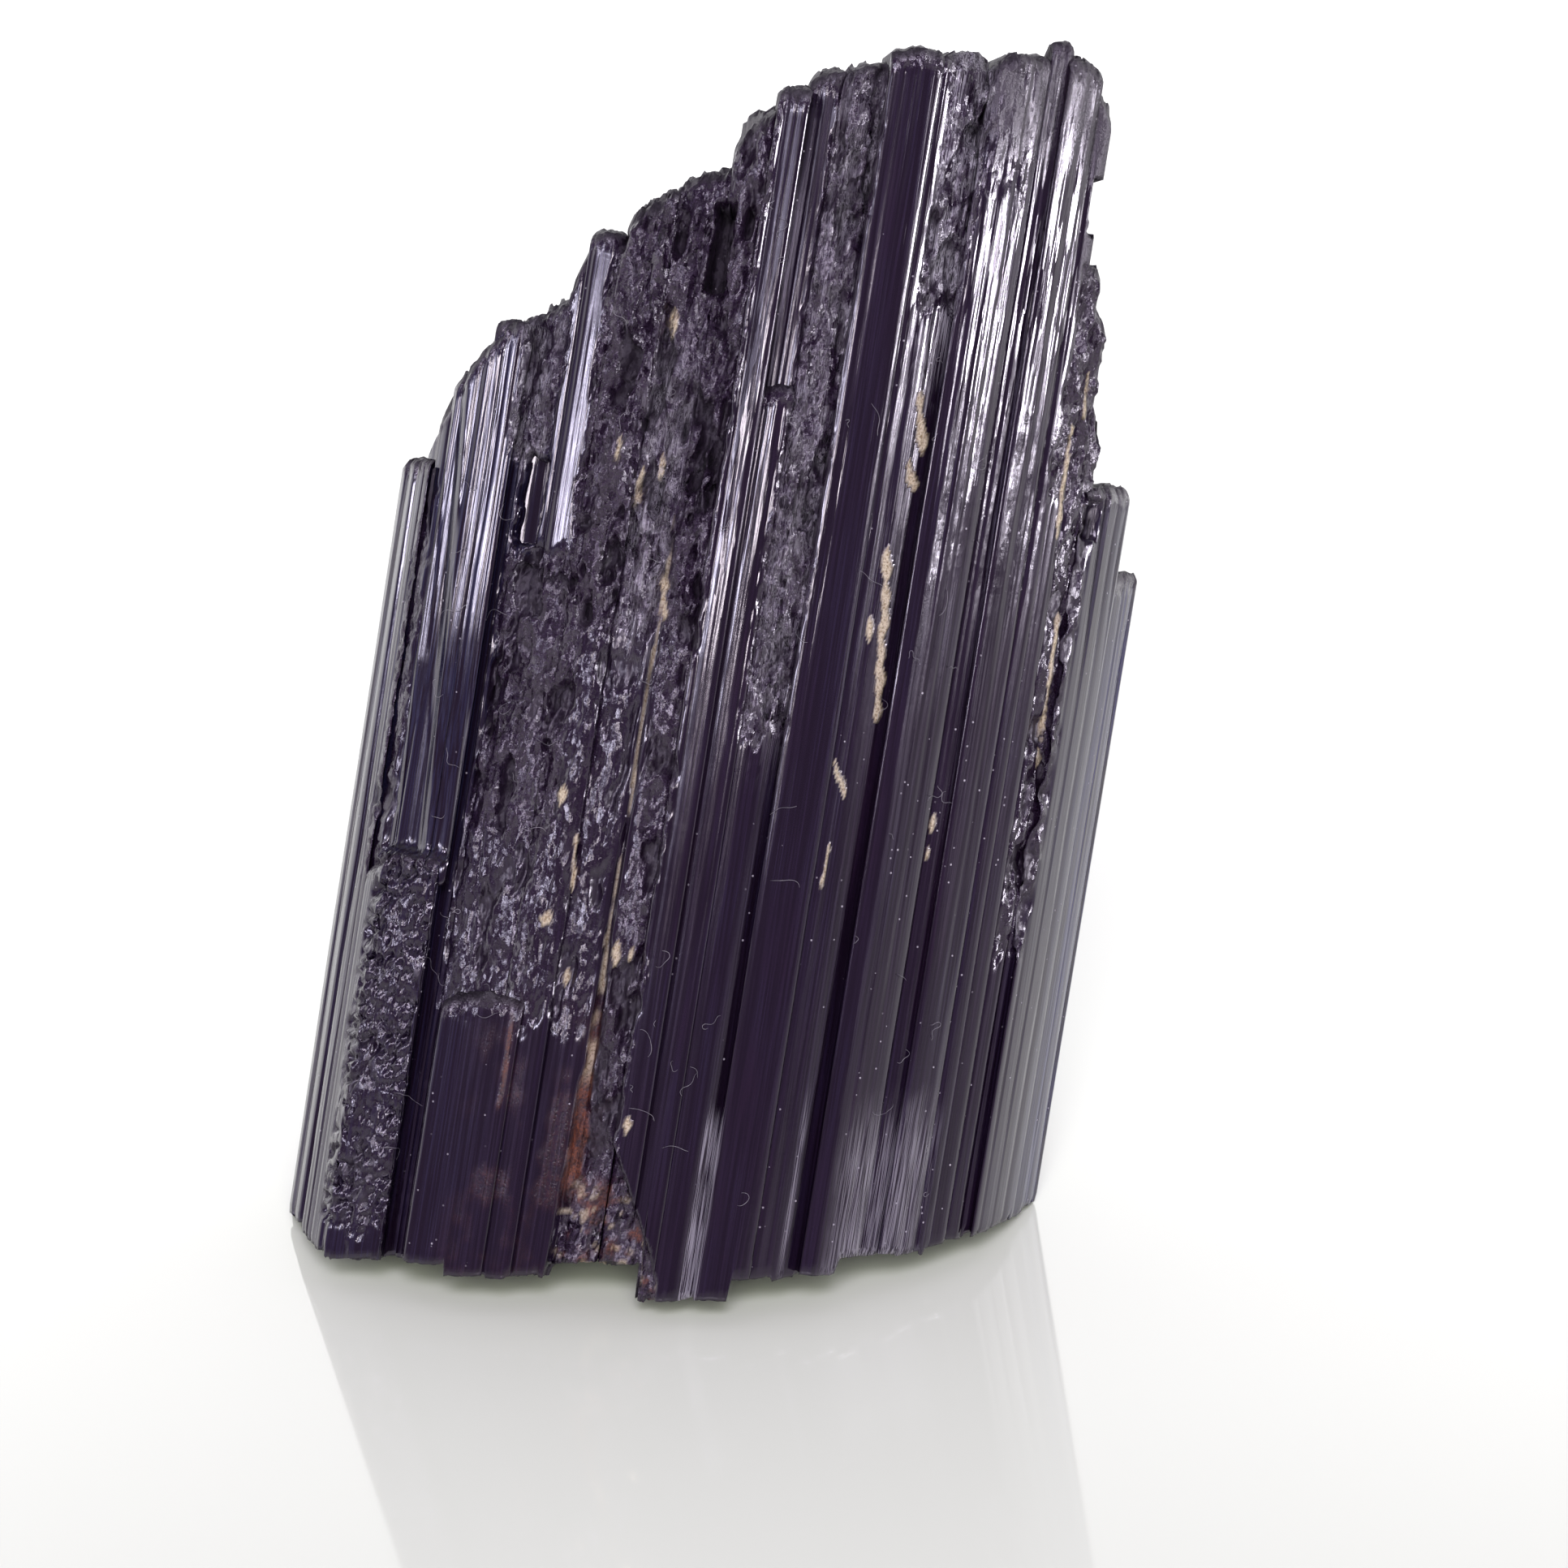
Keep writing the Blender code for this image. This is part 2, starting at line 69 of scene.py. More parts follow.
# Groups of front columns: from P, to P, set back, top left, top right, jaggedness, low end.
FRONT_GROUPS = {
    "left_columns": {
        "left_flank": (-17.85, -16.25, 0.0, 34.0, 34.4, 0.15, ROOT),
        "corner_edge": (-16.45, -15.6, 0.8, 34.6, 37.4, 0.15, ROOT),
        "corner_recess": (-15.75, -13.9, 0.9, 38.2, 38.9, 0.3, ROOT),
        "corner_stub": (-16.35, -12.85, 0.0, 15.2, 16.2, 0.45, ROOT),
        "upper_ribs": (-15.35, -13.5, 0.1, 38.2, 41.0, 0.2, 15.0),
        "inner_ribs": (-13.65, -12.45, 0.2, 41.2, 41.2, 0.25, 15.0),
        "long_ribs": (-14.05, -12.75, 0.4, 41.1, 41.3, 0.2, ROOT),
        "narrow_groove": (-12.95, -11.65, 1.25, 41.3, 41.7, 0.3, ROOT),
    },
    "spalled_columns": {
        "slot_wall": (-12.1, -10.7, 0.95, 41.8, 42.9, 0.35, ROOT),
        "spalled_band": (-11.85, -8.2, 0.5, 30.3, 29.9, 0.45, ROOT),
        "lower_plate": (-11.75, -8.05, 0.0, 9.6, 10.1, 0.3, ROOT),
        "face_edge": (-10.95, -10.25, 1.0, 42.9, 45.2, 0.15, ROOT),
        "smooth_face": (-10.4, -8.8, 0.85, 45.8, 46.0, 0.15, ROOT),
    },
    "pitted_columns": {
        "pitted_left": (-8.95, -6.7, 0.35, 46.8, 48.4, 0.4, ROOT),
        "pitted_right": (-6.85, -4.45, 0.65, 48.6, 49.8, 0.45, ROOT),
        "crevice_strip": (-4.55, -2.95, 0.5, 50.8, 52.8, 0.3, ROOT),
        "bright_ridge": (-3.0, -1.6, -0.15, 53.5, 53.8, 0.25, ROOT),
    },
    "middle_columns": {
        "dark_band": (-1.7, -0.2, 0.7, 54.2, 54.9, 0.2, ROOT),
        "dark_band_foot": (-1.75, -0.25, 0.2, 39.9, 40.2, 0.3, ROOT),
        "pit_row": (-0.3, 1.85, 0.5, 54.9, 55.5, 0.3, ROOT),
        "flat_band": (1.75, 4.15, 0.05, 56.2, 56.5, 0.25, ROOT),
        "rough_strip": (4.05, 6.45, 0.4, 56.5, 56.5, 0.3, ROOT),
    },
    "bright_columns": {
        "bright_left": (6.35, 9.1, 0.0, 56.5, 57.4, 0.3, ROOT),
        "peak": (9.05, 10.1, 0.45, 57.9, 58.0, 0.15, ROOT),
        "bright_right": (10.0, 11.75, 0.05, 57.6, 57.2, 0.3, ROOT),
        "right_shoulder": (11.6, 12.45, 0.25, 56.3, 55.4, 0.3, ROOT),
    },
    "right_columns": {
        "step_upper": (12.1, 13.2, 0.3, 48.4, 48.2, 0.35, ROOT),
        "step_middle": (13.0, 13.95, 0.55, 46.7, 45.6, 0.4, ROOT),
        "step_lower": (13.75, 14.6, 0.8, 42.2, 40.3, 0.45, ROOT),
        "right_column": (14.55, 16.85, -0.1, 38.0, 38.4, 0.2, ROOT),
        "right_flank": (16.6, 18.25, 0.1, 34.1, 34.4, 0.2, ROOT),
    },
}
BACK_GROUPS = {
    "back_left_columns": {
        "back_left_flank": (-18.0, -15.6, 0.1, 33.0, 34.2, 0.3, ROOT),
        "back_left": (-15.9, -13.3, -0.1, 36.6, 38.0, 0.5, ROOT),
        "back_left_thin": (-13.6, -11.9, 0.4, 38.4, 40.2, 0.3, ROOT),
        "back_left_inner": (-12.2, -9.6, 0.9, 40.6, 42.6, 0.5, ROOT),
        "back_wide": (-9.9, -6.6, -0.2, 42.4, 44.6, 0.6, ROOT),
        "back_wide_edge": (-6.9, -5.2, 0.3, 46.4, 47.0, 0.4, ROOT),
        "back_middle": (-5.5, -2.9, 0.6, 49.0, 50.6, 0.5, ROOT),
        "back_thin": (-3.2, -1.6, 1.1, 51.0, 52.2, 0.3, ROOT),
    },
    "back_right_columns": {
        "back_ridge": (-1.9, 1.3, -0.1, 47.8, 49.2, 0.6, ROOT),
        "back_groove": (1.0, 3.8, 0.9, 53.8, 54.6, 0.3, ROOT),
        "back_broad": (3.5, 6.4, 0.0, 51.6, 52.0, 0.6, ROOT),
        "back_broad_edge": (6.1, 8.2, 0.5, 54.0, 54.8, 0.4, ROOT),
        "back_right": (7.9, 10.9, 0.1, 52.6, 51.4, 0.5, ROOT),
        "back_right_edge": (10.6, 12.3, 0.7, 49.2, 48.4, 0.4, ROOT),
        "back_step": (12.0, 14.6, 0.1, 43.2, 39.6, 0.5, ROOT),
        "back_right_flank": (14.3, 16.6, 0.5, 36.8, 35.8, 0.3, ROOT),
        "back_right_rim": (16.3, 18.15, 0.1, 33.8, 32.6, 0.3, ROOT),
    },
}
HEART = {  # from P, to P, front Q, back Q, top, jaggedness
    "core_left": (-15.6, -11.2, -1.0, 7.0, 36.9, 0.5),
    "core_low": (-11.8, -7.4, -2.0, 9.0, 42.6, 0.5),
    "core_middle": (-8.0, -3.6, -2.0, 8.0, 47.2, 0.6),
    "core_high": (-4.2, 1.4, -3.0, 9.0, 53.0, 0.6),
    "core_peak": (0.8, 7.2, -3.0, 10.0, 55.4, 0.7),
    "core_shoulder": (6.4, 12.0, -3.0, 8.4, 56.4, 0.6),
    "core_edge": (9.2, 12.7, -1.5, 8.6, 50.9, 0.5),
    "core_step": (11.6, 14.2, -2.0, 7.6, 44.2, 0.5),
    "core_right": (13.4, 16.6, -1.5, 7.5, 37.4, 0.5),
}

# Columns whose face is turned a little to the right about their own middle, in degrees.
TURNED = {"flat_band": -3.0, "rough_strip": 15.0, "dark_band": -6.0, "pit_row": 13.0,
          "bright_left": 3.0, "bright_right": 4.0, "peak": -9.0, "right_column": -13.0, "left_flank": 4.0,
          "upper_ribs": -2.0, "crevice_strip": -6.0}

# Underside, mm from under the crystal origin: from X, to X, contact Y, slope of the rim.
RIM = np.array([(-21.0, -15.2, 3.6, 0.226), (-15.3, -9.3, -0.5, 0.34), (-9.5, -4.6, -1.5, 0.30),
                (-4.8, -0.3, -1.8, 0.43), (-0.5, 3.6, -1.2, 0.17), (3.4, 8.6, -1.0, 0.29),
                (8.4, 12.6, 0.5, 0.31), (12.4, 21.0, 4.0, 0.222)])
BASE_HOLLOWS = [(-7.5, 3.6, 6.0, 3.2, 0.9), (1.6, 7.4, 4.6, 3.8, 1.1), (8.6, 4.2, 4.2, 2.6, 0.8),
                (-4.6, 10.6, 3.6, 2.0, 0.7), (-13.4, 7.0, 2.4, 3.0, 0.8), (13.6, 9.0, 1.8, 2.6, 0.6)]

# Pockets in the front: from P, to P, from S, to S, depth below the outline.
POCKETS = [(-11.75, -10.75, 30.9, 34.7, 4.2), (-4.95, -4.15, 43.4, 47.3, 2.4),
           (-3.65, -3.25, 46.0, 47.2, 1.9), (14.5, 15.1, 35.3, 37.0, 2.2),
           (5.7, 6.4, 51.6, 52.5, 1.2), (12.1, 13.7, 48.9, 51.2, 6.0)]

# Broken, splintery patches: from P, to P, from S, to S, how broken, coarseness in mm, and how
# many times longer along S than across their splinters are.
BROKEN = [(-15.85, -12.8, -1.5, 15.7, 1.0, 0.75, 0.55), (-12.7, -10.8, 34.6, 43.0, 0.8, 0.5, 1.5),
          (-11.9, -8.0, 17.5, 30.4, 0.8, 0.6, 2.2), (-9.2, -3.0, 28.0, 46.6, 1.0, 0.6, 2.0),
          (-9.0, -4.4, 45.5, 51.0, 0.7, 0.6, 1.3), (-4.3, -2.9, 4.0, 52.0, 0.7, 0.4, 2.2),
          (-8.4, -5.0, 9.0, 28.5, 0.3, 0.55, 2.2), (-11.9, -8.0, 9.6, 18.5, 0.4, 0.4, 2.2),
          (-0.3, 1.7, 24.0, 54.2, 1.0, 0.45, 1.5), (4.6, 6.5, 44.0, 57.0, 0.8, 0.45, 1.6),
          (6.5, 9.0, 49.0, 57.0, 0.2, 0.3, 1.8), (13.2, 14.7, 15.5, 37.5, 0.55, 0.5, 1.8),
          (12.2, 14.6, 37.0, 48.0, 0.9, 0.5, 1.3), (-16.45, -15.75, 15.0, 32.0, 0.6, 0.3, 1.8),
          (7.0, 12.4, 31.4, 40.4, 0.04, 0.2, 1.2)]

# Crevice: P, lowest S, highest S, half width at the foot and at the top, depth.
CREVICE = (-4.62, -3.0, 34.3, 0.36, 0.09, 1.5)
CLAY_CORNER = np.array([(-4.9, 3.0), (-4.45, 6.2), (-3.1, 4.7), (-1.3, 1.2), (0.0, -1.6)])
CLAY_CORNER_DEPTH = 0.95

FINE, COARSE = 0.085, 0.19  # mm between points across the front and across the back
ROW_FRONT, ROW_BACK = 0.21, 0.42  # mm between rows up a column
CAP_RINGS = 7
TOP_INSET = 0.25  # mm that a column's sides end inside its face at its top
LINT_FIBRES, LINT_RADIUS = 80, 0.010  # their number, and half a fibre's thickness in mm
SIDE_STEPS = np.array([0.05, 0.16, 0.34, 0.62, 1.1, 2.0, 3.6])  # mm in from the corner


def lattice(seed, i, j):
    """A repeatable number from 0 to 1 for each whole-number place: its bits are multiplied,
    folded onto themselves and multiplied again."""
    n = (i * 374761393 + j * 668265263 + seed * 974711) & 0xFFFFFFFF
    n = ((n ^ (n >> 13)) * 1274126177) & 0xFFFFFFFF
    return (n ^ (n >> 16)) / 0xFFFFFFFF


def rolling(x, y, seed):
    """Smooth unevenness from -1 to 1: numbers at whole places, blended by 3t^2 - 2t^3."""
    i, j = np.floor(x).astype(np.int64), np.floor(y).astype(np.int64)
    u, v = x - i, y - j
    u, v = u * u * (3 - 2 * u), v * v * (3 - 2 * v)
    low = lattice(seed, i, j) * (1 - u) + lattice(seed, i + 1, j) * u
    high = lattice(seed, i, j + 1) * (1 - u) + lattice(seed, i + 1, j + 1) * u
    return 2 * (low * (1 - v) + high * v) - 1


def uneven(x, y, seed, layers=3):
    """Unevenness in layers, each twice as fine and half as high as the one before."""
    return sum(rolling(x * 2 ** k, y * 2 ** k, seed + k) / 2 ** k for k in range(layers)) / 1.75


def chips(x, y, seed, tilt=1.6):
    """Broken facets, about -1 to 1: each place lies on the tilted plane of the nearest of
    the points scattered one to a cell."""
    i, j = np.floor(x).astype(np.int64), np.floor(y).astype(np.int64)
    best, height = np.full(x.shape, 9.0), np.zeros(x.shape)
    for across in (-1, 0, 1):
        for along in (-1, 0, 1):
            a, b = i + across, j + along
            dx = x - a - lattice(seed, a, b)
            dy = y - b - lattice(seed + 1, a, b)
            away = dx * dx + dy * dy
            plane = (lattice(seed + 2, a, b) - 0.5) * 1.4
            plane = plane + dx * (lattice(seed + 3, a, b) - 0.5) * tilt
            plane = plane + dy * (lattice(seed + 4, a, b) - 0.5) * tilt
            height = np.where(away < best, plane, height)
            best = np.minimum(away, best)
    return height


def ramp(x, low, high):
    """0 below low, 1 above high, 3t^2 - 2t^3 between."""
    t = np.clip((x - low) / (high - low), 0, 1)
    return t * t * (3 - 2 * t)


def patch(p, s, box, edge_p=0.15, edge_s=0.5):
    """1 inside the box (P, P, S, S), 0 outside, ramps of the given widths at its borders."""
    p0, p1, s0, s1 = box
    across = ramp(p, p0 - edge_p, p0 + edge_p) * (1 - ramp(p, p1 - edge_p, p1 + edge_p))
    return across * ramp(s, s0 - edge_s, s0 + edge_s) * (1 - ramp(s, s1 - edge_s, s1 + edge_s))


def strips(p, s, pitch, height, tilt, seed):
    """Growth strips: the way across is cut at uneven places about a pitch apart. Each strip
    has a level, a tilt across and a rounding that drops as the square of the way from its
    middle. Level and tilt drift slowly along S between knots 6 mm apart."""
    rng = np.random.default_rng(seed)
    cuts = -27 + np.cumsum(rng.uniform(0.35, 1.65, int(56 / pitch)) * pitch)
    index = np.searchsorted(cuts, p)
    middle = np.append(cuts, cuts[-1]) - pitch / 2
    knots = np.clip((s + 14) / 6.0, 0, 12.999)
    below = np.floor(knots).astype(np.int64)
    share = knots - below
    share = share * share * (3 - 2 * share)
    own = rng.uniform(-1, 1, (2, len(cuts) + 1, 1))
    drift = rng.uniform(-1, 1, (2, len(cuts) + 1, 14))
    table = 0.72 * own + 0.42 * drift
    level = table[:, index, below] * (1 - share) + table[:, index, below + 1] * share
    off = np.clip(p - middle[index], -pitch, pitch)
    return level[0] * height + level[1] * tilt * off + 0.8 * tilt * off * off / pitch


def front_striae(p, s, way):
    """Lengthwise ribs of the front: broad, middling and fine growth strips together, counted
    along the way round. They are stronger on the left flank, fainter low down, and the
    right column has hardly any fine ones."""
    right = ramp(p, 13.9, 14.9)
    flank = 1 - ramp(p, -16.7, -16.2)
    broad = strips(way, s, 1.3, 0.045, 0.11, 21) * (1 + 0.9 * right + 0.8 * flank)
    middling = strips(way, s, 0.5, 0.022, 0.17, 22) * (1 - 0.55 * right + 1.9 * flank)
    fine = strips(way, s, 0.21, 0.009, 0.18, 23) * (1 - 0.9 * right)
    calm = 1 - 0.6 * ramp(p, -3.4, -2.8) * (1 - ramp(s, 25.0, 38.0))
    calm = calm - 0.75 * patch(p, s, (-14.2, -4.4, -9.0, 15.0), 0.3, 5.0)
    fine = fine * calm * (0.55 + 0.45 * ramp(s, 24.0, 42.0))
    return broad * calm + middling * calm + fine


def sunken_ribs(p, s, set_back):
    """How far the upper left ribs sink, mm: as deep as the recess to the left of a line that
    drifts right on its way down, and towards the long ribs lower down."""
    line = np.interp(s, [15.0, 27.0, 38.0], [-13.9, -14.75, -15.6])
    here = ramp(p, -15.7, -15.4) * (1 - ramp(p, -12.6, -12.4)) * ramp(s, 15.6, 16.2)
    left = (1 - ramp(p - line, -0.3, 0.9)) * 0.95
    return here * np.maximum(left, 0.45 * (1 - ramp(s, 16.0, 27.0)) + set_back) - here * set_back


def brokenness(p, s):
    """How broken the front is, 0 to 1, and how coarse: the splintery patches with wavering
    borders."""
    waver_p = 0.28 * uneven(p * 1.1, s * 0.7, 31)
    waver_s = 1.3 * uneven(p * 1.6, s * 0.4, 37)
    amount, coarse, long = np.zeros(p.shape), np.full(p.shape, 0.5), np.full(p.shape, 1.5)
    for p0, p1, s0, s1, much, size, stretch in BROKEN:
        here = much * patch(p + waver_p, s + waver_s, (p0, p1, s0, s1), 0.12, 0.45)
        coarse = np.where(here > amount, size, coarse)
        long = np.where(here > amount, stretch, long)
        amount = np.maximum(amount, here)
    return amount, coarse, long


def crevice_opening(p, s):
    """How open the long crevice is, 0 to 1: a groove round a slightly wandering line, whose
    half width shrinks from its foot to its top."""
    middle, low, high, wide, thin, _ = CREVICE
    wander = middle + 0.07 * rolling(s * 0.35, s * 0 + 3.0, 41)
    half = thin + (wide - thin) * (1 - ramp(s, 1.0, 16.0))
    half = half * (1 + 0.3 * rolling(s * 0.9, s * 0 + 7.0, 42))
    inside = 1 - ramp(np.abs(p - wander), half * 0.55, half * 1.25)
    return inside * (1 - ramp(s, high - 2.0, high))


def clay_corner(p, s):
    """The sheared-off corner beside the crevice, 0 to 1: below a bent line from P to P."""
    waver = 0.25 * uneven(p * 1.3, s * 1.1, 43)
    line = np.interp(p, CLAY_CORNER[:, 0], CLAY_CORNER[:, 1], left=-9.0, right=-9.0)
    return ramp(line - s + waver, -0.12, 0.22) * ramp(p, -4.95, -4.8) * (1 - ramp(p, -0.2, 0.1))


def ledges(p, s):
    """Wavy ledges that run across the columns, 0 to 1: the share left over when a warped S is
    divided by a ledge's height, in two sizes, squared so that a ledge ends in a crisp lip."""
    warp = 1.3 * uneven(p * 0.75, s * 0.9, 64) + 0.5 * uneven(p * 2.3, s * 2.1, 66)
    tall, low = s / 0.95 + warp, s / 0.42 + 1.9 * warp
    return 0.62 * (tall - np.floor(tall)) ** 2 + 0.38 * (low - np.floor(low)) ** 2


def pits(p, s):
    """Pits between the splinters, 0 to 1: places where unevenness drawn out along S is high."""
    return ramp(uneven(p * 1.25 + 3, s * 0.5, 65), 0.12, 0.42)


def front_relief(way, p, s, set_back):
    """Millimetres that the front is pushed in, how broken it is there, and how much painted shade
    darkens it and how matt it is: growth strips counted along the way round, splinters, slivers
    and pits where it is broken, then pockets, crevice and corner, each taking over where it is deeper."""
    amount, coarse, long = brokenness(p, s)
    splinters = chips(p / coarse, s / (coarse * long), 51) * 0.75
    splinters = splinters + chips(p / (coarse * 0.42), s / (coarse * 0.42 * long), 57) * 0.34
    splinters = splinters + uneven(p * 1.9, s * 0.8, 61) * 0.45
    drawn_out = ramp(long, 1.2, 1.7)
    slivers = chips(p / 0.55, s / 3.2, 63, 2.4) * drawn_out
    pitted = pits(p, s) * drawn_out
    deep = np.clip(coarse / 0.6, 0.3, 1.1)
    push = front_striae(p, s, way) * (1 - 0.5 * amount)
    push = push + np.maximum(sunken_ribs(p, s, set_back), 0)
    push = push + amount * deep * (0.1 + 0.3 * splinters + 0.24 * slivers + 0.75 * pitted)
    push = push + amount * (1 - drawn_out) * (1 - ramp(long, 0.6, 1.0)) * (
        0.75 * ledges(p, s) - 0.3 - deep * 0.16 * splinters)
    push = push + amount * (1 - ramp(long, 0.6, 1.0)) * 0.3 * uneven(p * 0.7, s * 0.55, 68)
    # Painted shade: pits and deep splinters are marked to be coloured darker, and matt.
    hollow = amount * np.clip(0.9 * pitted + 0.6 * ramp(splinters, 0.3, 0.9), 0, 1)
    waver_p = 0.1 * uneven(p * 2.1, s * 1.4, 71)
    waver_s = 0.35 * uneven(p * 1.7, s * 0.9, 73)
    for p0, p1, s0, s1, depth in POCKETS:
        pocket = patch(p + waver_p, s + waver_s, (p0, p1, s0, s1), 0.09, 0.16)
        push = np.maximum(push, pocket * (depth - set_back + 0.2 * splinters))
        hollow = np.maximum(hollow, pocket)
    filled = CREVICE[5] - (CREVICE[5] - 0.95) * ramp(s, 2.0, 7.0)
    push = np.maximum(push, crevice_opening(p, s) * (filled - set_back))
    corner = clay_corner(p, s)
    floor = CLAY_CORNER_DEPTH - set_back + 0.14 * splinters
    push = push * (1 - corner) + corner * floor
    return push, np.maximum(amount * (0.3 + 0.7 * ramp(long, 0.6, 1.0)), corner), hollow


def back_relief(way, p, s, set_back):
    """The same for the back: growth strips, with broken patches where slow unevenness is
    high."""
    del set_back
    amount = ramp(uneven(p * 0.16 + 9, s * 0.07, 81, 2), 0.1, 0.32)
    amount = amount * ramp(uneven(p * 0.9, s * 0.3, 83), -0.25, 0.1)
    splinters = chips(p / 0.7, s / 1.3, 85) * 0.7 + uneven(p * 1.7, s * 0.8, 86) * 0.5
    pitted = pits(p + 40, s)
    push = strips(way, s, 1.3, 0.09, 0.2, 87) + strips(way, s, 0.5, 0.045, 0.22, 88)
    push = push * (1 - 0.5 * amount) + amount * (0.12 + 0.26 * splinters + 0.35 * pitted)
    # The last value marks the pits for painted shade and mattness.
    return push, amount, amount * pitted


def base_level(x, y):
    """Height of the broken base above the floor at table place (X, Y): the front rim climbs
    by its slope from each contact line, and shallow hollows arch over the rest."""
    waver = 0.5 * uneven(x * 0.7, y * 0.5, 91)
    index = np.clip(np.searchsorted(RIM[:, 0], x + waver) - 1, 0, len(RIM) - 1)
    climb = RIM[index, 3] * (RIM[index, 2] - y)
    rough = 0.16 * chips(x / 1.1, y / 1.1, 93) + 0.1 * uneven(x * 1.5, y * 1.5, 95)
    level = np.maximum(climb + rough * ramp(climb, 0.0, 0.6), 0.0)
    for cx, cy, half_x, half_y, high in BASE_HOLLOWS:
        inside = 1 - ((x - cx) / half_x) ** 2 - ((y - cy) / half_y) ** 2
        level = np.maximum(level, high * np.sqrt(np.clip(inside, 0, 1)) + rough * (inside > 0))
    return np.maximum(level, 0.0)


def to_world(p, q, s):
    """Crystal place in millimetres to world place in metres: FOOT + P, Q and S directions."""
    return (FOOT + np.stack([p, q, s], axis=-1) @ AXES.T) * MM


def base_s(p, q):
    """S where the line up from (P, Q) meets the broken base, found in six closer steps."""
    s = (0.16505 * p + 0.28836 * q - FOOT[2]) / 0.94319
    for _ in range(6):
        place = to_world(p, q, s) / MM
        wanted = base_level(place[..., 0] - FOOT[0], place[..., 1] - FOOT[1])
        s = s + (wanted - place[..., 2]) / AXES[2, 2]
    return s


def broken_top(p, q, row, seed):
    """S of a column's broken top: a slope from its left to its right, a tilt that grows with
    height, a fall to the rear on narrow columns, and facets with fine unevenness that mostly bite down into it."""
    start, end, _, left, right, jag, _ = row
    share = np.clip((p - start) / (end - start), 0, 1)
    top = left + (right - left) * share
    top = top - 0.2 * (end - start) * (1 - np.sqrt(1 - (1.9 * (share - 0.5)) ** 2))
    behind = q - np.interp(p, FRONT[:, 0], FRONT[:, 1]) - 5.0
    tilt = TOP_TILT[0] + TOP_TILT[1] * (top - 34.0) - EASED_TILT * ramp(behind, -3.0, 0.0)
    narrow = 1 - ramp(end - start, 1.06, 1.2)
    top = top + tilt * behind - 0.25 * narrow * np.maximum(behind + 3.0, 0.0)
    bite = 0.55 * chips(p / 0.9, q / 1.1, seed) + 0.35 * chips(p / 0.38, q / 0.45, seed + 6)
    bite = bite + 0.3 * uneven(p * 1.6, q * 1.6, seed + 12)
    return top + jag * (1.05 * bite - 0.7)


def way_round(outline):
    """Length along the outline at each of its corners."""
    return np.append(0, np.cumsum(np.hypot(*np.diff(outline, axis=0).T)))


def inner_end(p, face, side, deep):
    """How far in a column reaches: to its depth, but 1.2 mm short of the opposite face and
    at least half a millimetre."""
    opposite = BACK if side > 0 else FRONT
    limit = side * np.interp(p, opposite[:, 0], opposite[:, 1]) - 1.2
    return max(min(deep, limit), face + 0.5)


def side_steps(reach):
    """Shares of the way in for the points along a side: the set steps, closer together where
    the side is short."""
    squeezed = min(1.0, 0.85 * reach / SIDE_STEPS[-1])
    return np.append(SIDE_STEPS * squeezed / reach, 1.0)


def column_plan(outline, row, side, spacing, deep, turned):
    """Closed plan of a column, anticlockwise: across its face, in along one side, across
    its hidden end and out along the other side. Returns P, Q, the way round the outline, the
    inward direction, each point's share of the way in (0 on the face, 1 at the end), and how far it
    shifts along P at the top, where the sides draw in behind the face."""
    start, end, set_back = row[:3]
    lengths = way_round(outline)
    ends = np.interp([start, end], outline[:, 0], lengths)
    count = max(int(round((ends[1] - ends[0]) / spacing)), 6)
    way = np.linspace(ends[0], ends[1], count)
    way_middle = lengths[-1] / 2
    face_p = np.interp(way, lengths, outline[:, 0])
    face_q = side * np.interp(way, lengths, outline[:, 1])
    slope = np.gradient(face_q, way) / np.maximum(np.gradient(face_p, way), 0.05)
    size = np.hypot(slope, 1.0)
    in_p, in_q = -slope / size, 1.0 / size
    corner = np.minimum(way - ends[0], ends[1] - way)
    share_across = (way - ends[0]) / (ends[1] - ends[0]) * 2 - 1
    bulge = 0.045 * min(end - start, 2.4) * share_across ** 2 + 0.07 * np.exp(-corner / 0.1)
    face_p = face_p + in_p * bulge
    face_q = face_q + set_back + in_q * bulge
    face_q = face_q + math.tan(math.radians(turned)) * (face_p - (start + end) / 2)
    splay_left = min(0.3, start + 17.8)
    splay_right = -0.25 if end > 12.0 else 0.3
    end_left = inner_end(start, face_q[0], side, deep)
    end_right = inner_end(end, face_q[-1], side, deep)
    reach_left, reach_right = end_left - face_q[0], end_right - face_q[-1]
    right, left = side_steps(reach_right), side_steps(reach_left)[::-1]
    far = np.array([0.6, 0.4])
    p = np.concatenate([face_p, face_p[-1] + (end + splay_right - face_p[-1]) * right,
                        start + (end - start) * far,
                        face_p[0] + (start - splay_left - face_p[0]) * left])
    q = np.concatenate([face_q, face_q[-1] + reach_right * right,
                        end_left + (end_right - end_left) * far,
                        face_q[0] + reach_left * left])
    share = np.concatenate([np.zeros(count), right, np.ones(2), left])
    drawn_in = np.concatenate([np.zeros(count), -(splay_right + TOP_INSET) * right, np.zeros(2),
                               (splay_left + TOP_INSET) * left])
    corner_of = np.concatenate([np.arange(count), np.full(len(right), count - 1),
                                np.array([count - 1, 0]), np.zeros(len(left), int)]).astype(int)
    inward = in_p[corner_of], in_q[corner_of]
    return p, q, way[corner_of] - way_middle, inward, share, drawn_in, corner_of, count


def side_ribs(q, s, seed):
    """Ribs of a column's side, counted along Q."""
    return strips(q, s, 0.9, 0.07, 0.2, seed) + strips(q, s, 0.3, 0.03, 0.2, seed + 1)


